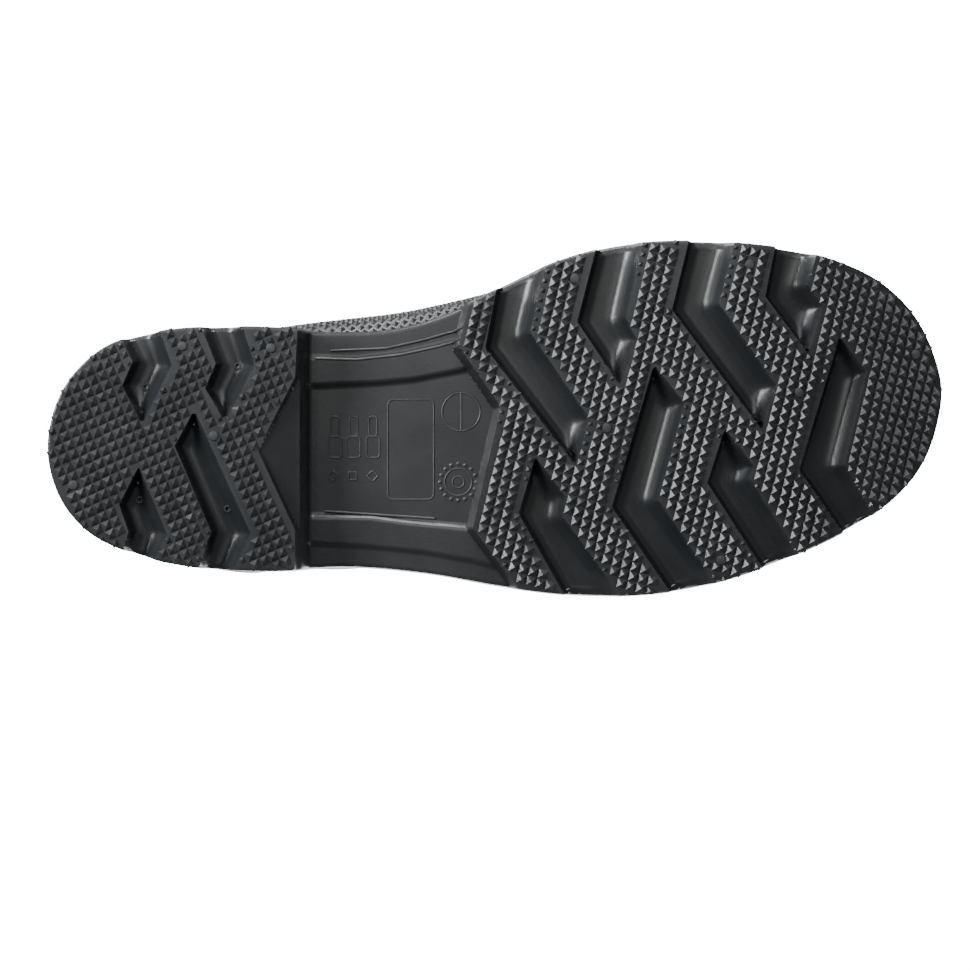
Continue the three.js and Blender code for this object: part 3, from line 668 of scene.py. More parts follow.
def rubber(name, dark, pale, low, high, dust, wear_and_highlight, grain, specular=0.5):
    """Moulded rubber, foam or board; low and high are its roughness, grain its pitting's depth. Its
    convex edges turn paler, partly real rubbing and partly a painted edge highlight.
    """
    made = Finish(name, Specular_IOR_Level=specular)
    fine = made.group(GRAIN, Scale=1.0)
    base = made.blend(dark, pale, fine["Cloud"])
    # Paler colour on convex edges: partly real rubbing, partly a painted edge highlight.
    rubbed_and_highlight = tuple(v * 2.6 + 0.01 for v in pale)
    base = made.blend(base, rubbed_and_highlight, made.group(WEAR_AND_EDGE_HIGHLIGHT, Amount=wear_and_highlight)["Mask"])
    made.colour(made.blend(base, DUST_COLOUR, made.group(DUST, Amount=dust)["Mask"]))
    made.rough(fine["Cloud"], low, high)
    made.bump(fine["Height"], grain)
    return made.material


def cloth(name, dark, pale, threads, depth, roughness=0.9, sheen=0.25):
    """A woven or knitted cloth on the piece's own flat map."""
    made = Finish(name, use_map=True, Roughness=roughness, Sheen_Weight=sheen,
                  Specular_IOR_Level=0.2)
    woven = made.group(WEAVE, Threads=threads)
    fine = made.group(GRAIN, Scale=0.4)
    base = made.blend(dark, pale, woven["Mask"])
    made.colour(made.blend(base, dark, ramp(made.tree, fine["Cloud"], (0.4, 0), (0.75, 0.45))))
    made.bump(woven["Height"], depth)
    made.bump(fine["Height"], depth * 0.4)
    return made.material


def metal(name, colour, low, high, grain):
    """Bare pressed steel with fine drawing marks."""
    made = Finish(name, Metallic=1.0)
    fine = made.group(GRAIN, Scale=0.6)
    made.colour(made.blend(colour, tuple(v * 0.7 for v in colour), fine["Cloud"]))
    made.rough(fine["Cloud"], low, high)
    made.bump(fine["Height"], grain)
    return made.material


SOLE_RUBBER = rubber("sole_rubber", (0.008, 0.0092, 0.0104), (0.014, 0.0158, 0.0176), 0.27, 0.38,
                     0.05, 0.35, 0.03)
KNURL_RUBBER = rubber("knurl_rubber", (0.005, 0.0058, 0.0066), (0.012, 0.0135, 0.0155), 0.30, 0.46,
                      0.12, 0.25, 0.09)
WAIST_RUBBER = rubber("mark_rubber", (0.013, 0.0148, 0.0165), (0.022, 0.0245, 0.027), 0.32, 0.44,
                      0.05, 0.3, 0.03)
UPPER_RUBBER = rubber("upper_rubber", (0.009, 0.0095, 0.010), (0.014, 0.015, 0.016), 0.20, 0.30,
                      0.03, 0.15, 0.012)
TRIM_RUBBER = rubber("trim_rubber", (0.010, 0.0105, 0.011), (0.016, 0.017, 0.018), 0.30, 0.42,
                     0.04, 0.25, 0.02)
STEEL = metal("cap_steel", (0.55, 0.56, 0.57), 0.28, 0.42, 0.01)
LINING_CLOTH = cloth("lining_knit", (0.33, 0.32, 0.29), (0.5, 0.48, 0.44), 700, 0.35)
COVER_CLOTH = cloth("footbed_cloth", (0.07, 0.075, 0.08), (0.16, 0.165, 0.17), 520, 0.3)
WEBBING = cloth("webbing", (0.012, 0.012, 0.013), (0.045, 0.045, 0.048), 640, 0.45, 0.7, 0.15)
THREAD = rubber("thread", (0.05, 0.05, 0.05), (0.09, 0.09, 0.09), 0.6, 0.75, 0.1, 0.1, 0.05, 0.2)
FOAM = rubber("foam", (0.05, 0.052, 0.055), (0.085, 0.088, 0.092), 0.8, 0.95, 0.1, 0.1, 0.15, 0.2)
FILLER = rubber("filler", (0.10, 0.085, 0.06), (0.15, 0.13, 0.10), 0.7, 0.85, 0.2, 0.1, 0.08, 0.3)
STIFF = rubber("stiffener_board", (0.06, 0.058, 0.055), (0.09, 0.088, 0.085), 0.6, 0.75,
               0.1, 0.1, 0.05, 0.3)

CAD_FINISHES = {
    "heel_core": STIFF, "shank": STEEL, "steel_midsole": STEEL, "steel_toe_cap": STEEL,
    "sole_filler": FILLER, "insole_board": STIFF, "toe_cap_edge_strip": TRIM_RUBBER,
    "heel_stiffener": STIFF,
}
for node, finish in CAD_FINISHES.items():
    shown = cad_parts[node]
    shown.data.materials.clear()
    shown.data.materials.append(finish)


# ---- outsole ----------------------------------------------------------------------------------
BOTTOM_ROWS = 172
WALL_SHARES = (0.05, 0.13, 0.3, 0.5, 0.68, 0.78, 0.84, 0.9, 0.96)
WALL_BULGE = (-0.1, 0.25, 0.6, 0.8, 0.6, 0.3, -0.4, 0.7, 1.1)
TOP_ROWS = 44
COLUMN_STEP = 0.8
TIP_REACH = 8.0
TIP_COLUMNS = 14
WALL_FOOT = 2.4  # how far the forefoot's back wall slopes out over the waist
SNAP_SHARE = 0.505  # share of a grid step within which points move onto a groove's border
SOFT_PASSES = 6
RIM_ROUNDING = 0.9
CUP_DEPTH = 9.3
CUP_WALL = (5.6, 8.4)  # how far inside the edge the cup's wall starts and ends


def groove_fill(points):
    """Depth of the tread grooves at each point: a steep wall towards the heel, a broad one towards
    the toe."""
    depth = np.zeros(len(points))
    for name, polygon in GROOVES.items():
        heel = name.startswith("heel")
        far, away = polygon_distance(points, polygon)
        width = 2.3 + 4.2 * smooth(0.1, 0.75, -away[:, 0])
        share = np.clip(far / width, 0, 1)
        full = HEEL_TREAD_DEPTH if heel else TREAD_DEPTH
        depth = np.where(far > 0, full * (1 - (1 - share) ** 2.3), depth)
    return depth


def waist_level(x, y):
    """Height of the smooth waist with its rails and sunk panel."""
    level = np.interp(x, WAIST_LINE[:, 0], WAIST_LINE[:, 1])
    panel = (smooth(-0.4, 1.6, y - across_at(MEDIAL_STEP, x))
             * smooth(-0.4, 1.6, across_at(LATERAL_RAIL, x) - y))
    outer = smooth(-0.3, 1.5, y - across_at(LATERAL_STEP, x)) * 0.9
    inner = smooth(-0.3, 1.5, across_at(MEDIAL_RAIL, x) - y) * 0.9
    return level + 1.6 * panel + outer + inner


def sole_level(points):
    """Height of the underside at each point, tread and waist together."""
    p = np.asarray(points, float)
    x, y = p[:, 0], p[:, 1]
    lug = underside(x) + KNURL_HEIGHT
    level = lug + groove_fill(p)
    notch, _ = polygon_distance(p, HEEL_NOTCH)
    sunk = (0.5 + (x - 71.7) * 0.27) * smooth(0, 0.7, notch)
    level = np.where((notch > 0) & (x < 90), lug + sunk, level)
    waist, _ = polygon_distance(p, WAIST_PLAN)
    front = np.clip(waist / WALL_FOOT, 0, 1)
    level = np.where((waist > 0) & (x > 92), lug + (waist_level(x, y) - lug) * front, level)
    breast = smooth(85.9, 88.3, x)
    return np.where((x <= 92) & (x > 85.9), level + (waist_level(x, y) - level) * breast, level)


def softened(level, flat, passes):
    """The level with the bends and ends of the groove floors rounded off, their rims kept."""
    wide = level
    for _ in range(passes):
        for axis in (0, 1):
            wide = (2 * wide + np.roll(wide, 1, axis=axis) + np.roll(wide, -1, axis=axis)) / 4
    inside = np.max([polygon_distance(flat, polygon)[0] for polygon in GROOVES.values()], axis=0)
    share = smooth(0.5, 3.2, inside).reshape(level.shape)
    share[:3] = share[-3:] = 0
    share[:, :3] = share[:, -3:] = 0
    return level + (wide - level) * share


def outsole():
    tip = EDGE[TIP, 0]
    near = TIP_REACH * (np.arange(TIP_COLUMNS) / TIP_COLUMNS) ** 2
    columns = np.concatenate([
        near, np.arange(TIP_REACH, tip - TIP_REACH, COLUMN_STEP), tip - near[::-1]])
    low, high = side_of_sole(columns, False), side_of_sole(columns, True)
    low[0] = high[0] = EDGE[0, 1]
    low[-1] = high[-1] = EDGE[TIP, 1]
    share = np.linspace(0, 1, BOTTOM_ROWS)
    y = low[:, None] + (high - low)[:, None] * share[None, :]
    x = np.repeat(columns[:, None], BOTTOM_ROWS, axis=1)
    flat = np.stack([x.ravel(), y.ravel()], axis=1)
    inner = np.zeros((len(columns), BOTTOM_ROWS), bool)
    inner[3:-3, 1:-1] = True
    inner = inner.ravel()
    step_y = np.repeat((high - low) / (BOTTOM_ROWS - 1), BOTTOM_ROWS)
    for polygon in [*GROOVES.values(), HEEL_NOTCH, WAIST_PLAN]:
        far, away = polygon_distance(flat, polygon)
        reach = SNAP_SHARE * np.maximum(COLUMN_STEP * np.abs(away[:, 0]),
                                        step_y * np.abs(away[:, 1]))
        for line in (0.0, WALL_FOOT) if polygon is WAIST_PLAN else (0.0,):
            short = np.abs(far) - line
            move = inner & (np.abs(short) < reach) & ((line == 0) | (far > 0))
            flat[move] -= away[move] * short[move][:, None]
    level = sole_level(flat)
    level = softened(level.reshape(x.shape), flat, SOFT_PASSES).ravel()
    rounding = np.clip(1 - edge_distance(flat) / RIM_ROUNDING, 0, 1)
    level += RIM_ROUNDING * (1 - np.sqrt(np.clip(1 - rounding ** 2, 0, 1)))
    bottom = np.column_stack([flat, level]).reshape(len(columns), BOTTOM_ROWS, 3)

    rim = seat(columns) + RIM_RISE
    walls = []
    for side, column in ((high, -1), (low, 0)):
        nearest = np.array([np.argmin((EDGE[:, 0] - cx) ** 2 + (EDGE[:, 1] - cy) ** 2)
                            for cx, cy in zip(columns, side)])
        out = EDGE_OUT[nearest]
        rows = []
        for part, bulge in zip(WALL_SHARES, WALL_BULGE):
            edge = bottom[:, column, 2]
            rows.append(np.column_stack([
                columns + out[:, 0] * bulge, side + out[:, 1] * bulge, edge + (rim - edge) * part]))
        walls.append(np.stack(rows, axis=1))
    across = (1 + np.cos(np.linspace(0, math.pi, TOP_ROWS))) / 2
    top_y = low[:, None] + (high - low)[:, None] * across[None, :]
    top_x = np.repeat(columns[:, None], TOP_ROWS, axis=1)
    depth = edge_distance(np.column_stack([top_x.ravel(), top_y.ravel()])).reshape(top_x.shape)
    top_z = rim[:, None] - CUP_DEPTH * smooth(*CUP_WALL, depth)
    top = np.stack([top_x, top_y, top_z], axis=2)
    loops = np.concatenate([bottom, walls[0], top, walls[1][:, ::-1]], axis=1)

    rows, around = loops.shape[:2]
    quads = np.array(grid_faces(rows, around, True))
    z = loops.reshape(-1, 3)[:, 2]
    long_way = np.abs(z[quads[:, 0]] - z[quads[:, 2]]) <= np.abs(z[quads[:, 1]] - z[quads[:, 3]])
    first = np.where(long_way[:, None], quads[:, [0, 1, 2]], quads[:, [0, 1, 3]])
    second = np.where(long_way[:, None], quads[:, [0, 2, 3]], quads[:, [1, 2, 3]])
    faces = first.tolist() + second.tolist()
    return clean(new_object("outsole_tread", loops.reshape(-1, 3), faces, SOLE_RUBBER), 38)


sole = outsole()
finish_piece(sole, "boot", "sole_rubber", "outsole")


def knurl_field(name, rows_along, centre, reach, wanted):
    """Complete pyramids of a tilted square grid that fit on the lugs."""
    along = np.array([math.cos(math.radians(rows_along)), math.sin(math.radians(rows_along))])
    over = np.array([along[1], -along[0]])
    steps = np.arange(-reach, reach + 1)
    i, j = (v.ravel() for v in np.meshgrid(steps, steps, indexing="ij"))
    centres = np.array(centre) + KNURL_PITCH * (i[:, None] * along + j[:, None] * over)
    centres = centres[wanted(centres[:, 0])]
    room = edge_distance(centres)
    for polygon in [*GROOVES.values(), HEEL_NOTCH, WAIST_PLAN]:
        room = np.minimum(room, -polygon_distance(centres, polygon)[0] - 0.1)
    for disc in DISCS:
        room = np.minimum(room, np.linalg.norm(centres - disc, axis=1) - 1.2)
    centres, room = centres[room > 0.7], room[room > 0.7]
    part = np.clip(room / (KNURL_PITCH * 0.5), 0.45, 1.0)
    slope = (underside(centres[:, 0] + 0.5) - underside(centres[:, 0] - 0.5))
    places = np.column_stack([centres, underside(centres[:, 0]) + KNURL_HEIGHT + 0.08])
    outward = np.column_stack([slope, np.zeros(len(slope)), -np.ones(len(slope))])
    outward[:, :2] += chance.normal(0, 0.045, (len(slope), 2))
    across = np.column_stack([np.tile(along, (len(places), 1)), slope * along[0]])
    size = np.column_stack([part, part, np.sqrt(part) * (0.93 + 0.07 * chance.random(len(places)))])
    made = pyramids(name, places, across, outward, KNURL_PITCH - 0.04, KNURL_HEIGHT + 0.06,
                    KNURL_RUBBER, size=size)
    return finish_piece(made, "boot", "sole_rubber")


knurl_field("forefoot_knurl", 14, (220.0, -10.0), 60, lambda x: x > 130)
knurl_field("heel_knurl", -25, (45.0, 0.0), 30, lambda x: x < 90)

disc_places = np.column_stack([DISCS, underside(np.array(DISCS)[:, 0]) + KNURL_HEIGHT])
DISC_PROFILE = ((0, 0.3), (1.7, 0.3), (1.7, -0.35), (1.5, -0.6), (1.1, -0.66), (0, -0.66))
finish_piece(lathe("mould_discs", DISC_PROFILE, disc_places, WAIST_RUBBER), "boot", "sole_rubber")
pin_places = np.column_stack([PIN_MARKS, sole_level(PIN_MARKS)])
PIN_PROFILE = ((0, 0.6), (1.5, 0.6), (1.35, -0.6), (1.15, -0.9), (0.8, -0.9), (0.65, -0.6),
               (0.6, 0.3), (0, 0.3))
finish_piece(lathe("pin_marks", PIN_PROFILE, pin_places, WAIST_RUBBER), "boot", "sole_rubber")


def on_sole(path, lift=0.0):
    """A path on the underside, with points close together."""
    p = np.array(path, float)
    share = np.concatenate([np.linspace(i, i + 1, 9)[:-1] for i in range(len(p) - 1)]
                           + [[len(p) - 1]])
    flat = np.column_stack([np.interp(share, np.arange(len(p)), p[:, k]) for k in (0, 1)])
    return np.column_stack([flat, sole_level(flat) + lift])


def ring_path(x, y, radius, start=0, end=360, steps=36):
    angles = np.radians(np.linspace(start, end, steps + 1))
    return [[x + radius * math.cos(a), y + radius * math.sin(a)] for a in angles]


def rounded_box(x0, y0, x1, y1, r):
    """A rectangle's outline with round corners."""
    corners = ((x1 - r, y1 - r, 0), (x0 + r, y1 - r, 90),
               (x0 + r, y0 + r, 180), (x1 - r, y0 + r, 270))
    path = [q for x, y, turn in corners for q in ring_path(x, y, r, turn, turn + 90, 6)]
    return path + path[:1]


RING = (140.9, -12.8)
DIAL = (139.9, 11.4)
marks = [MEDIAL_LINE, MEDIAL_RAIL, [[93.3, 21.6], [131.7, 24]]]
fine_marks = [rounded_box(115.4, -17.2, 131.4, 17.4, 2.0)]
for place, radius in ((RING, 6.6), (DIAL, 4.7), (DIAL, 2.0)):
    fine_marks.append(ring_path(*place, radius))
fine_marks.append([[RING[0], RING[1] - 6.4], [RING[0], RING[1] + 6.4]])
for left in (94.7, 101.1, 107.9):
    fine_marks.append(rounded_box(left, -4.4, left + 4.6, 2.9, 1.1))
    fine_marks.append(rounded_box(left + 0.9, -11.4, left + 3.7, -4.4, 1.2))
for middle, turn in ((96.3, 0), (103.1, 45), (110, 0)):
    fine_marks.append([[middle + 1.9 * math.cos(math.radians(a + turn)),
                        9.3 + 1.9 * math.sin(math.radians(a + turn))] for a in range(0, 361, 90)])
mark_lines = raised_lines("waist_lines", [on_sole(path, -0.1) for path in marks], 0.5, WAIST_RUBBER)
finish_piece(mark_lines, "boot", "sole_rubber")
fine_lines = raised_lines("waist_marks", [on_sole(path) for path in fine_marks], 0.3, WAIST_RUBBER)
finish_piece(fine_lines, "boot", "sole_rubber")
dots = np.array([[DIAL[0] + 6.3 * math.cos(a), DIAL[1] + 6.3 * math.sin(a)]
                 for a in np.linspace(0, 2 * math.pi, 16, endpoint=False)])
dot_places = np.column_stack([dots, sole_level(dots)])
DOT_PROFILE = ((0, 0.2), (0.7, 0.2), (0.7, -0.15), (0.45, -0.35), (0, -0.4))
finish_piece(lathe("dial_dots", DOT_PROFILE, dot_places, WAIST_RUBBER, 10), "boot", "sole_rubber")


# ---- the last and what is wrapped round it ----------------------------------------------------
RINGS = 120
HALF_STEPS = 44
collar = STATIONS[-1]


def half_section(front, back, middle, half, square_back, square_front):
    """Points of one half of a section of the last from its back end to its front end."""
    angle = np.linspace(0, math.pi, 400)
    power = 2 / np.where(angle < math.pi / 2, square_back, square_front)
    reach = -np.sign(np.cos(angle)) * np.abs(np.cos(angle)) ** power
    wide = np.abs(np.sin(angle)) ** power
    share = (1 + reach) / 2
    p = np.column_stack([back[0] + (front[0] - back[0]) * share, middle + half * wide,
                         back[1] + (front[1] - back[1]) * share])
    run = np.concatenate([[0], np.cumsum(np.linalg.norm(np.diff(p, axis=0), axis=1))])
    if run[-1] < 1e-6:
        return np.repeat(p[:1], HALF_STEPS + 1, axis=0)
    at = np.linspace(0, run[-1], HALF_STEPS + 1)
    return np.column_stack([np.interp(at, run, p[:, k]) for k in range(3)])


def last_surface():
    """Rings of the last from the toe's tip to the collar, and their outward normals."""
    numbers = spline(STATIONS, np.linspace(0, 1, RINGS), uniform=True)
    rings = []
    for fx, fz, bx, bz, medial, lateral, back_square, front_square in numbers:
        middle, half = (medial + lateral) / 2, (lateral - medial) / 2
        ends = ((fx, fz), (bx, bz), middle)
        outer = half_section(*ends, half, back_square, front_square)
        inner = half_section(*ends, -half, back_square, front_square)
        rings.append(np.concatenate([outer[:-1], inner[::-1][:-1]]))
    grid = np.array(rings)
    normal = grid_normals(grid, True)
    if (normal * (grid - grid.mean(axis=1, keepdims=True))).sum() < 0:
        normal = -normal
    normal[-1, :, 2] = 0
    normal[-1] /= np.linalg.norm(normal[-1], axis=1, keepdims=True)
    return grid, normal


LAST, LAST_OUT = last_surface()


def bump_over(p):
    """How far the hard toe cap and the heel stiffener push the rubber out."""
    x, z = p[..., 0], p[..., 2]
    cap = CAP_BUMP * smooth(CAP_BACK - 11, CAP_BACK + 3, x)
    counter = STIFFENER_BUMP * (1 - smooth(STIFFENER_REACH - 2, STIFFENER_REACH + 14, x))
    counter = counter * (1 - smooth(STIFFENER_TOP - 2, STIFFENER_TOP + 12, z))
    return cap + counter


def at_layer(offset, bumped=True):
    """The last's rings moved outwards by offset, over the hard pieces if bumped."""
    extra = bump_over(LAST) if bumped else np.zeros(LAST.shape[:2])
    return LAST + LAST_OUT * (offset + extra)[..., None]


skin = at_layer(SHELL_OUT)
upper = sheet_between("boot_upper", skin, at_layer(SHELL_IN), UPPER_RUBBER, True, open_rows=(0,))
finish_piece(upper, "boot", "upper_rubber", "upper_shell")
lining_in = at_layer(0.0, False)
lining = sheet_between("knitted_lining", at_layer(LINING, False), lining_in, LINING_CLOTH, True,
                       open_rows=(0,))
finish_piece(lining, "boot", "lining_textile", "lining")


def tree_of(grid):
    rows, columns = grid.shape[:2]
    return BVHTree.FromPolygons([Vector(p) for p in grid.reshape(-1, 3)],
                                grid_faces(rows, columns, True))


SKIN = tree_of(skin)
INSIDE = tree_of(LAST)


def cast(tree, start, direction):
    """Where a ray from start first meets a surface."""
    hit = tree.ray_cast(Vector(start), Vector(direction).normalized())[0]
    return np.array(hit) if hit is not None else None


def cast_grid(tree, rays):
    """Hits of a grid of rays; a ray that misses takes its neighbour's hit."""
    rows = []
    for line in rays:
        hits = [cast(tree, *ray) for ray in line]
        known = [h for h in hits if h is not None]
        for i, hit in enumerate(hits):
            if hit is None:
                order = sorted((abs(i - k), k) for k, h in enumerate(hits) if h is not None)
                hits[i] = hits[order[0][1]] if known else np.zeros(3)
        rows.append(hits)
    return np.array(rows)


def seat_rays(height, count, first=0.0, last=1.0):
    """Rays towards the boot all round the sole's edge, height above the seat at each place."""
    share = np.linspace(first, last, count, endpoint=last < 1)
    index = (share * len(EDGE)).astype(int) % len(EDGE)
    rays = []
    for i in index:
        (x, y), out = EDGE[i], EDGE_OUT[i]
        start = (x + out[0] * 25, y + out[1] * 25, seat(x) + height)
        rays.append((start, (-out[0], -out[1], 0)))
    return rays


# ---- foxing with its diamond pattern ----------------------------------------------------------
FOXING_STEPS = 420
foxing_rows = spread(FOXING_LOW, FOXING_HIGH, 1.6)
FOXING_INSET = 3.4


def foxing_at(height, count):
    """The face under the foxing at a height above the seat, from the sole's rim to the boot."""
    hits = cast_grid(SKIN, [seat_rays(max(height, 7.5), count)])[0]
    index = (np.linspace(0, 1, count, endpoint=False) * len(EDGE)).astype(int)
    rim = EDGE[index] - EDGE_OUT[index] * FOXING_INSET
    out = EDGE_OUT[index]
    proud = ((hits[:, :2] - rim) * out).sum(axis=1)
    share = smooth(FOXING_LOW, 9.5, height)
    flat = rim + out * (proud * share)[:, None]
    return np.column_stack([flat, seat(flat[:, 0]) + height])


foxing_grid = np.array([foxing_at(h, FOXING_STEPS) for h in foxing_rows])
foxing_depth = border_depth(foxing_rows, None, FOXING_THICKNESS - 0.9)
bead = 0.7 * np.exp(-((foxing_rows - (FOXING_HIGH - 1.3)) / 0.6) ** 2)[:, None]
foxing_depth = np.repeat(foxing_depth + bead, FOXING_STEPS, axis=1)
middle_out = foxing_grid - foxing_grid.mean(axis=1, keepdims=True)
boot_layer("foxing_band", "sole_rubber", "foxing_strip", foxing_grid, foxing_depth, TRIM_RUBBER,
           middle_out, True)


def foxing_diamonds():
    """Diamond pyramids in staggered rows round the foxing."""
    pitch, rows = 3.5, 4
    places, across, outward = [], [], []
    length = np.linalg.norm(np.diff(EDGE, axis=0), axis=1).sum()
    count = int(length / pitch)
    for row in range(2 * rows - 1):
        height = FOXING_LOW + 2.9 + row * pitch * 0.49
        here, above = foxing_at(height, count * 2), foxing_at(height + 1.0, count * 2)
        rise = above - here
        side = np.roll(here, -1, axis=0) - np.roll(here, 1, axis=0)
        rise /= np.linalg.norm(rise, axis=1, keepdims=True)
        side /= np.linalg.norm(side, axis=1, keepdims=True)
        out = np.cross(side, rise)
        index = (np.linspace(0, 1, count * 2, endpoint=False) * len(EDGE)).astype(int)
        out *= np.sign((out[:, :2] * EDGE_OUT[index]).sum(axis=1))[:, None]
        chosen = slice(row % 2, None, 2)
        places += (here + out * (FOXING_THICKNESS - 1.0))[chosen].tolist()
        across += (side + rise)[chosen].tolist()
        outward += out[chosen].tolist()
    made = pyramids("foxing_diamonds", np.array(places), np.array(across), np.array(outward),
                    pitch * 0.70, 1.0, KNURL_RUBBER, tip=0.25)
    return finish_piece(made, "boot", "sole_rubber")


foxing_diamonds()

# ---- guards and pads on the upper -------------------------------------------------------------
toe_rows = spread(18.2, 39.0, 1.7)
toe_rays = [seat_rays(h, 150, 0.375, 0.63) for h in toe_rows]
toe_grid = cast_grid(SKIN, toe_rays)
toe_across = np.linspace(0, 190, 150)
toe_depth = border_depth(toe_rows, toe_across, GUARD_THICKNESS)
toe_depth = toe_depth + 0.55 * np.exp(-((toe_rows - 36.6) / 0.5) ** 2)[:, None] * (toe_depth > 1)
boot_layer("toe_guard_layer", "upper_rubber", "toe_guard", toe_grid, toe_depth, TRIM_RUBBER,
           toe_grid - [200, -14, 50])

heel_rows = spread(52.5, 86.0, 1.8)
heel_turns = np.linspace(-74, 74, 90)
HEEL_MIDDLE = (48.0, 0.0)


def heel_rays(z, turns):
    rays = []
    for turn in np.radians(turns):
        direction = (-math.cos(turn), math.sin(turn), 0)
        start = (HEEL_MIDDLE[0] + direction[0] * 120, direction[1] * 120, z)
        rays.append((start, (-direction[0], -direction[1], 0)))
    return rays


heel_grid = cast_grid(SKIN, [heel_rays(z, heel_turns) for z in heel_rows])
heel_depth = border_depth(heel_rows, np.linspace(0, 115, 90), GUARD_THICKNESS)
for level in (59.0, 66.0, 73.0, 80.0):
    rib = np.exp(-((heel_rows - level) / 1.2) ** 2)[:, None]
    heel_depth = heel_depth + 0.6 * rib * (heel_depth > 1.9)
boot_layer("heel_guard_layer", "upper_rubber", "heel_guard", heel_grid, heel_depth, TRIM_RUBBER,
           heel_grid - [60, 0, 70])

strip_rows = spread(87.0, 305.4, 2.6)
strip_across = spread(-10, 10, 1.3)
strip_grid = cast_grid(SKIN, [[((-60, y, z), (1, 0, 0)) for y in strip_across] for z in strip_rows])
strip_depth = border_depth(strip_rows, strip_across, PATCH_THICKNESS)
boot_layer("back_strip_layer", "upper_rubber", "back_strip", strip_grid, strip_depth, UPPER_RUBBER,
           np.array([-1, 0, 0]))

PAD = (66.0, 118.0)
PAD_RADIUS = 27.0
pad_radii = np.concatenate([[0.0, 1.5], np.arange(3.5, 25.3, 1.6), [25.7, 26.3, 26.7, 27.0]])
pad_turns = np.linspace(0, 2 * math.pi, 72, endpoint=False)
for side, node in ((1, "ankle_patch_lateral"), (-1, "ankle_patch_medial")):
    rays = [[((PAD[0] + r * math.cos(a), 120 * side, PAD[1] + r * math.sin(a)), (0, -side, 0))
             for a in pad_turns] for r in pad_radii]
    pad_grid = cast_grid(SKIN, rays)
    rim = np.clip((PAD_RADIUS - pad_radii) / 1.4, 0, 1)
    pad_depth = PATCH_THICKNESS * np.sqrt(1 - (1 - rim) ** 2)
    for radius in (22.5, 15.5, 8.5):
        pad_depth = pad_depth + 0.55 * np.exp(-((pad_radii - radius) / 1.1) ** 2)
    pad_depth = np.repeat(pad_depth[:, None], len(pad_turns), axis=1)
    boot_layer(node + "_pad", "upper_rubber", node, pad_grid, pad_depth, TRIM_RUBBER,
               np.array([0, side, 0]), True, open_rows=(0,))

# ---- instep guard -----------------------------------------------------------------------------
front_line = spline(np.array(STATIONS)[:, :2], np.linspace(0, 1, 400), uniform=True)
front_line = front_line[(front_line[:, 1] > 136.5) & (front_line[:, 1] < 196.5)]
front_run = np.concatenate([[0], np.cumsum(np.linalg.norm(np.diff(front_line, axis=0), axis=1))])
guard_rows = spread(0, front_run[-1], 1.4)
guard_across = spread(-27.5, 27.5, 1.8)
guard_rays = []
for run in guard_rows:
    x, z = (np.interp(run, front_run, front_line[:, k]) for k in (0, 1))
    ahead = [np.interp(run + 1, front_run, front_line[:, k]) for k in (0, 1)]
    behind = [np.interp(run - 1, front_run, front_line[:, k]) for k in (0, 1)]
    slope = np.array(ahead) - behind
    out = np.array([slope[1], -slope[0]]) / np.linalg.norm(slope)
    guard_rays.append([((x + out[0] * 60, y, z + out[1] * 60), (-out[0], 0, -out[1]))
                       for y in guard_across])
guard_grid = cast_grid(SKIN, guard_rays)
guard_depth = border_depth(guard_rows, guard_across, PATCH_THICKNESS)
ends = smooth(0, 2.5, 24.5 - np.abs(guard_across))[None, :]
for k in range(4):
    rib = smooth(0, 1.6, 3.2 - np.abs(guard_rows - (front_run[-1] / 2 + (k - 1.5) * 13)))[:, None]
    guard_depth = guard_depth + 1.5 * rib * ends
boot_layer("instep_guard_layer", "upper_rubber", "instep_guard", guard_grid, guard_depth,
           TRIM_RUBBER, np.array([1, 0, 0.3]))

# ---- collar -----------------------------------------------------------------------------------
COLLAR_AXIS = ((collar[0] + collar[2]) / 2, (collar[4] + collar[5]) / 2)
collar_rows = spread(306.3, 329.6, 1.5)
collar_turns = np.linspace(0, 2 * math.pi, 160, endpoint=False)
collar_rays = [[((COLLAR_AXIS[0] + 130 * math.cos(a), COLLAR_AXIS[1] + 130 * math.sin(a), z),
                 (-math.cos(a), -math.sin(a), 0)) for a in collar_turns] for z in collar_rows]
collar_grid = cast_grid(SKIN, collar_rays)
collar_depth = border_depth(collar_rows, None, PATCH_THICKNESS)
for level in (310.5, 315.5, 320.5, 325.5):
    collar_depth = collar_depth + 0.6 * np.exp(-((collar_rows - level) / 1.0) ** 2)[:, None]
collar_depth = np.repeat(collar_depth, len(collar_turns), axis=1)
boot_layer("collar_ribbed_band", "upper_rubber", "collar_band", collar_grid, collar_depth,
           TRIM_RUBBER, collar_grid - [*COLLAR_AXIS, 318], True)

# ---- pull loops and their anchors -------------------------------------------------------------
LOOP_BASE = 323.3
LOOP_MIDDLE_X = 77.0
LOOP_WIDTH = 27.6


def strap_path(wall):
    """The middle of the webbing seen from behind: up the wall, over the bow and back down."""
    half = STRAP_THICKNESS / 2
    outer_y, top_radius = wall - 0.9, 9.4
    centre = (outer_y - top_radius, 355.0)
    path = [[outer_y, z] for z in np.linspace(LOOP_BASE, centre[1], 14)]
    path += [[centre[0] + top_radius * math.cos(a), centre[1] + top_radius * math.sin(a)]
             for a in np.linspace(0, math.pi, 17)[1:]]
    low = [[centre[0] - top_radius, 350.0], [outer_y - 2.2 - half, 335.5],
           [outer_y - 1.0 - half, 330.5], [outer_y - 0.95 - half, LOOP_BASE]]
    inner = spline([path[-1], *low], np.linspace(0, 1, 24))
    return np.array(path + inner[1:].tolist())


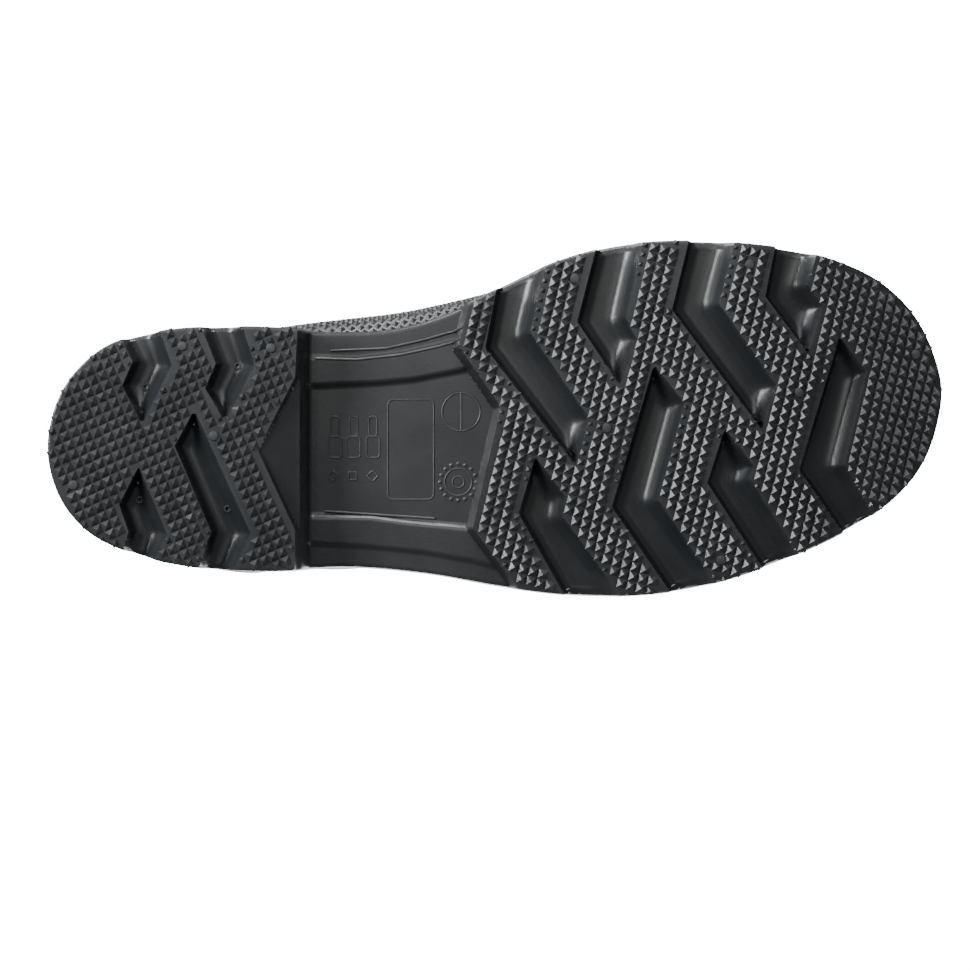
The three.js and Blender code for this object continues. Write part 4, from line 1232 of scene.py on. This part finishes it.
def strap(name, wall, side, offset):
    path = strap_path(wall)
    path[:, 0] = path[:, 0] * side + offset
    along = np.gradient(path, axis=0)
    along /= np.linalg.norm(along, axis=1, keepdims=True)
    out = np.column_stack([along[:, 1], -along[:, 0]]) * side
    across = spread(-LOOP_WIDTH / 2, LOOP_WIDTH / 2, 1.9, (0.0, 0.25, 0.6, 1.1))
    near = np.clip((LOOP_WIDTH / 2 - np.abs(across)) / 1.1, 0, 1)
    half = STRAP_THICKNESS / 2 * np.sqrt(1 - (1 - near) ** 2)
    half = half + 0.05 * np.cos(across * 2.2)
    half = np.maximum(half, 0.0)
    grids = []
    for way in (1, -1):
        y = path[:, 0][:, None] + out[:, 0][:, None] * half[None, :] * way
        z = path[:, 1][:, None] + out[:, 1][:, None] * half[None, :] * way
        x = np.repeat((LOOP_MIDDLE_X + across)[None, :], len(path), axis=0)
        grids.append(np.stack([x, y, z], axis=2))
    return sheet_between(name, grids[0], grids[1], WEBBING), path


for side, body, node, wall, offset in (
        (1, "loop_lateral", "lateral", 44.4, 0.0), (-1, "loop_medial", "medial", 44.4, -4.2)):
    webbing, path = strap("webbing_loop_" + node, wall, side, offset)
    finish_piece(webbing, body, "webbing", "pull_loop_" + node)
    edge_lines = []
    for level in (325.4, 332.0):
        inner_y = (wall - 0.9 - 1.8 - STRAP_THICKNESS / 2) * side + offset
        edge_lines.append([[LOOP_MIDDLE_X + x, inner_y, level] for x in (-11, 11)])
    for x in (-11, 11):
        edge_lines.append([[LOOP_MIDDLE_X + x, inner_y, level] for level in (325.4, 332.0)])
    seams = raised_lines("loop_stitches_" + node, edge_lines, 0, THREAD, STITCHES,
                         Step=2.4, Length=2.1, Thickness=0.6)
    finish_piece(seams, body, "webbing")
    anchor_rows = spread(291.2, 322.8, 2.0)
    anchor_across = spread(LOOP_MIDDLE_X - 20.8, LOOP_MIDDLE_X + 20.8, 2.0)
    anchor_rays = [[((x, -2, z), (0, side, 0)) for x in anchor_across] for z in anchor_rows]
    anchor_grid = cast_grid(INSIDE, anchor_rays)
    anchor_depth = border_depth(anchor_rows, anchor_across, 3.2, 2.2)
    boot_layer("anchor_patch_" + node, "upper_rubber", "loop_anchor_" + node, anchor_grid,
               anchor_depth, COVER_CLOTH, np.array([0, -side, 0]), sink=-0.05)
    stitch_paths = []
    for inset in (3.2, 6.0):
        x0, x1 = LOOP_MIDDLE_X - 20.8 + inset, LOOP_MIDDLE_X + 20.8 - inset
        z0, z1 = 291.2 + inset, 322.8 - inset
        corners = [[x0, z0], [x1, z0], [x1, z1], [x0, z1], [x0, z0]]
        fine = np.concatenate([np.linspace(a, b, 24)[:-1] for a, b in zip(corners, corners[1:])]
                              + [[corners[0]]])
        hits = cast_grid(INSIDE, [[((x, -2, z), (0, side, 0)) for x, z in fine]])[0]
        stitch_paths.append(hits - np.array([0, side * 3.15, 0]))
    sewn = raised_lines("anchor_stitches_" + node, stitch_paths, 0, THREAD, STITCHES,
                        Step=2.6, Length=2.2, Thickness=0.65)
    finish_piece(sewn, "boot", "webbing")

# ---- footbed ----------------------------------------------------------------------------------
FOOTBED_LOW_X, FOOTBED_HIGH_X = 30.5, 272.6
bed_x = spread(FOOTBED_LOW_X, FOOTBED_HIGH_X, 3.0, (0.0, 0.5, 1.4, 3.0))
bed_share = np.concatenate([[0, 0.006, 0.02, 0.05], np.linspace(0.09, 0.91, 27),
                            [0.95, 0.98, 0.994, 1]])


def bed_edges(x, height):
    """How far the footbed may reach to each side at a height above the seat."""
    z = seat(x) + height
    start = (x, float(np.interp(x, [30, 150, 215, 272], [0, -3, -10, -17])), z)
    reach = [cast(INSIDE, start, (0, way, 0)) for way in (-1, 1)]
    return [hit[1] if hit is not None else start[1] for hit in reach]


def bed_layer(low, high, clearance, cup):
    """Top and underside grids of a footbed layer between two heights above the seat."""
    tops, lows = [], []
    for x in bed_x:
        medial, lateral = bed_edges(x, high)
        end = max(0.0, 1 - min(x - FOOTBED_LOW_X, FOOTBED_HIGH_X - x) / 14) ** 2
        medial, lateral = medial + clearance + 6 * end, lateral - clearance - 6 * end
        y = medial + (lateral - medial) * bed_share
        near = np.clip(np.minimum(y - medial, lateral - y) / 12, 0, 1)
        raised = cup * (1 - near) ** 2 * (1 - smooth(110, 170, x))
        edge = np.clip(np.minimum(y - medial, lateral - y) / 1.6, 0, 1)
        round_off = 1.2 * (1 - np.sqrt(1 - (1 - edge) ** 2))
        top = seat(x) + high + raised - round_off
        below = []
        for px, py in zip(np.full(len(y), x), y):
            hit = cast(INSIDE, (px, py, seat(x) + high + 6), (0, 0, -1))
            floor_z = hit[2] + clearance if hit is not None else seat(x) + low
            below.append(max(floor_z, seat(x) + low))
        bottom = np.minimum(below, top - 0.5)
        tops.append(np.column_stack([np.full(len(y), x), y, top]))
        lows.append(np.column_stack([np.full(len(y), x), y, bottom]))
    return np.array(tops), np.array(lows)


foam_top, foam_low = bed_layer(0.9, 5.3, 1.2, 1.0)
foam = sheet_between("footbed_foam_pad", foam_top, foam_low, FOAM)
finish_piece(foam, "footbed", "foam", "footbed_foam")
cover_low = foam_top + [0, 0, 0.25]
cover_top = foam_top + [0, 0, 1.35]
cover = sheet_between("footbed_cloth_cover", cover_top, cover_low, COVER_CLOTH)
finish_piece(cover, "footbed", "footbed_cover", "footbed_cover")
inset_path = []
for share in (0.07, 0.93):
    k = int(round(np.interp(share, bed_share, np.arange(len(bed_share)))))
    inset_path.append((cover_top[6:-6, k] + [0, 0, 0.05]))
bed_seams = raised_lines("footbed_stitches", inset_path, 0, THREAD, STITCHES,
                         Step=3.0, Length=2.6, Thickness=0.6)
finish_piece(bed_seams, "footbed", "footbed_cover")


# ---- floor, light and camera ------------------------------------------------------------------
def area_light(name, place, aim, size, power):
    """A soft square light at a place in the row frame, pointing at aim."""
    data = bpy.data.lights.new(name, "AREA")
    data.shape = "SQUARE"
    data.size = size
    data.energy = power
    light = bpy.data.objects.new(name, data)
    bpy.context.scene.collection.objects.link(light)
    light.location = place
    light.rotation_euler = (Vector(aim) - Vector(place)).to_track_quat("-Z", "Y").to_euler()
    return light


def floor_finish():
    """Pale floor seen only from above; light and sight from below pass through it."""
    material = bpy.data.materials.new("floor")
    material.use_nodes = True
    tree = material.node_tree
    shader = tree.nodes["Principled BSDF"]
    shader.inputs["Base Color"].default_value = (0.86, 0.86, 0.85, 1)
    shader.inputs["Roughness"].default_value = 0.9
    clear, path, side, place = (tree.nodes.new("ShaderNode" + kind) for kind in (
        "BsdfTransparent", "LightPath", "NewGeometry", "TexCoord"))
    front = math_node(tree, "SUBTRACT", 1.0, side.outputs["Backfacing"])
    seen = math_node(tree, "MULTIPLY", path.outputs["Is Camera Ray"], front)
    far = add_node(tree, "ShaderNodeVectorMath", {0: place.outputs["Object"]}, operation="LENGTH")
    fade = add_node(tree, "ShaderNodeMapRange", {
        "Value": far.outputs["Value"], "From Min": FLOOR_FADE[0], "From Max": FLOOR_FADE[1],
        "To Min": 1.0, "To Max": 0.0}, interpolation_type="SMOOTHSTEP")
    mix = add_node(tree, "ShaderNodeMixShader", {
        0: math_node(tree, "MULTIPLY", seen, fade.outputs[0]), 1: clear.outputs[0],
        2: shader.outputs[0]})
    tree.links.new(mix.outputs[0], tree.nodes["Material Output"].inputs["Surface"])
    return material


FLOOR_FADE = (0.5, 1.8)  # where the floor starts and ends to melt into the backdrop
FLOOR_REACH = 6.0
FLOOR_LEVEL = -0.0006
BACKDROP_LIGHT, BACKDROP_SEEN = 0.24, 18.0
floor_mesh = bpy.data.meshes.new("floor")
floor_mesh.from_pydata([(x * FLOOR_REACH, y * FLOOR_REACH, FLOOR_LEVEL) for x, y in (
    (-1, -1), (1, -1), (1, 1), (-1, 1))], [], [(0, 1, 2, 3)])
floor = bpy.data.objects.new("floor", floor_mesh)
bpy.context.scene.collection.objects.link(floor)
floor_mesh.materials.append(floor_finish())

world = bpy.data.worlds.new("studio")
bpy.context.scene.world = world
world.use_nodes = True
backdrop = world.node_tree.nodes["Background"]
path = world.node_tree.nodes.new("ShaderNodeLightPath")
brightness = add_node(world.node_tree, "ShaderNodeMapRange", {
    "Value": path.outputs["Is Camera Ray"], "To Min": BACKDROP_LIGHT, "To Max": BACKDROP_SEEN})
world.node_tree.links.new(brightness.outputs[0], backdrop.inputs["Strength"])
backdrop.inputs["Color"].default_value = (1, 1, 1, 1)

for light in (
        ("heel_side_key", (-0.75, -0.25, -0.42), (0.0, 0.0, 0.0), 0.35, 15),
        ("under_fill", (-0.1, -0.55, -0.9), (0.0, 0.0, 0.0), 0.9, 7),
        ("medial_rim", (-0.15, -1.1, 0.02), (-0.05, 0.0, 0.04), 0.5, 17),
        ("lateral_rim", (0.8, 0.9, 0.0), (0.05, 0.0, 0.03), 0.4, 6),
        ("top", (0.2, 0.3, 1.5), (0.0, 0.0, 0.15), 1.2, 24),
        ("front_left", (-0.9, -1.2, 0.8), (0.0, 0.0, 0.15), 0.9, 20),
        ("back_right", (0.9, 1.2, 0.7), (0.0, 0.0, 0.15), 0.9, 16)):
    area_light(*light)

CAMERA_PLACE = (-0.0043, 0.0215, -0.775)
view = bpy.data.cameras.new("view")
view.lens = 84.5
view.sensor_width = 36
camera = bpy.data.objects.new("view", view)
bpy.context.scene.collection.objects.link(camera)
camera.location = CAMERA_PLACE
camera.rotation_euler = (math.pi, 0, 0)
bpy.context.scene.camera = camera
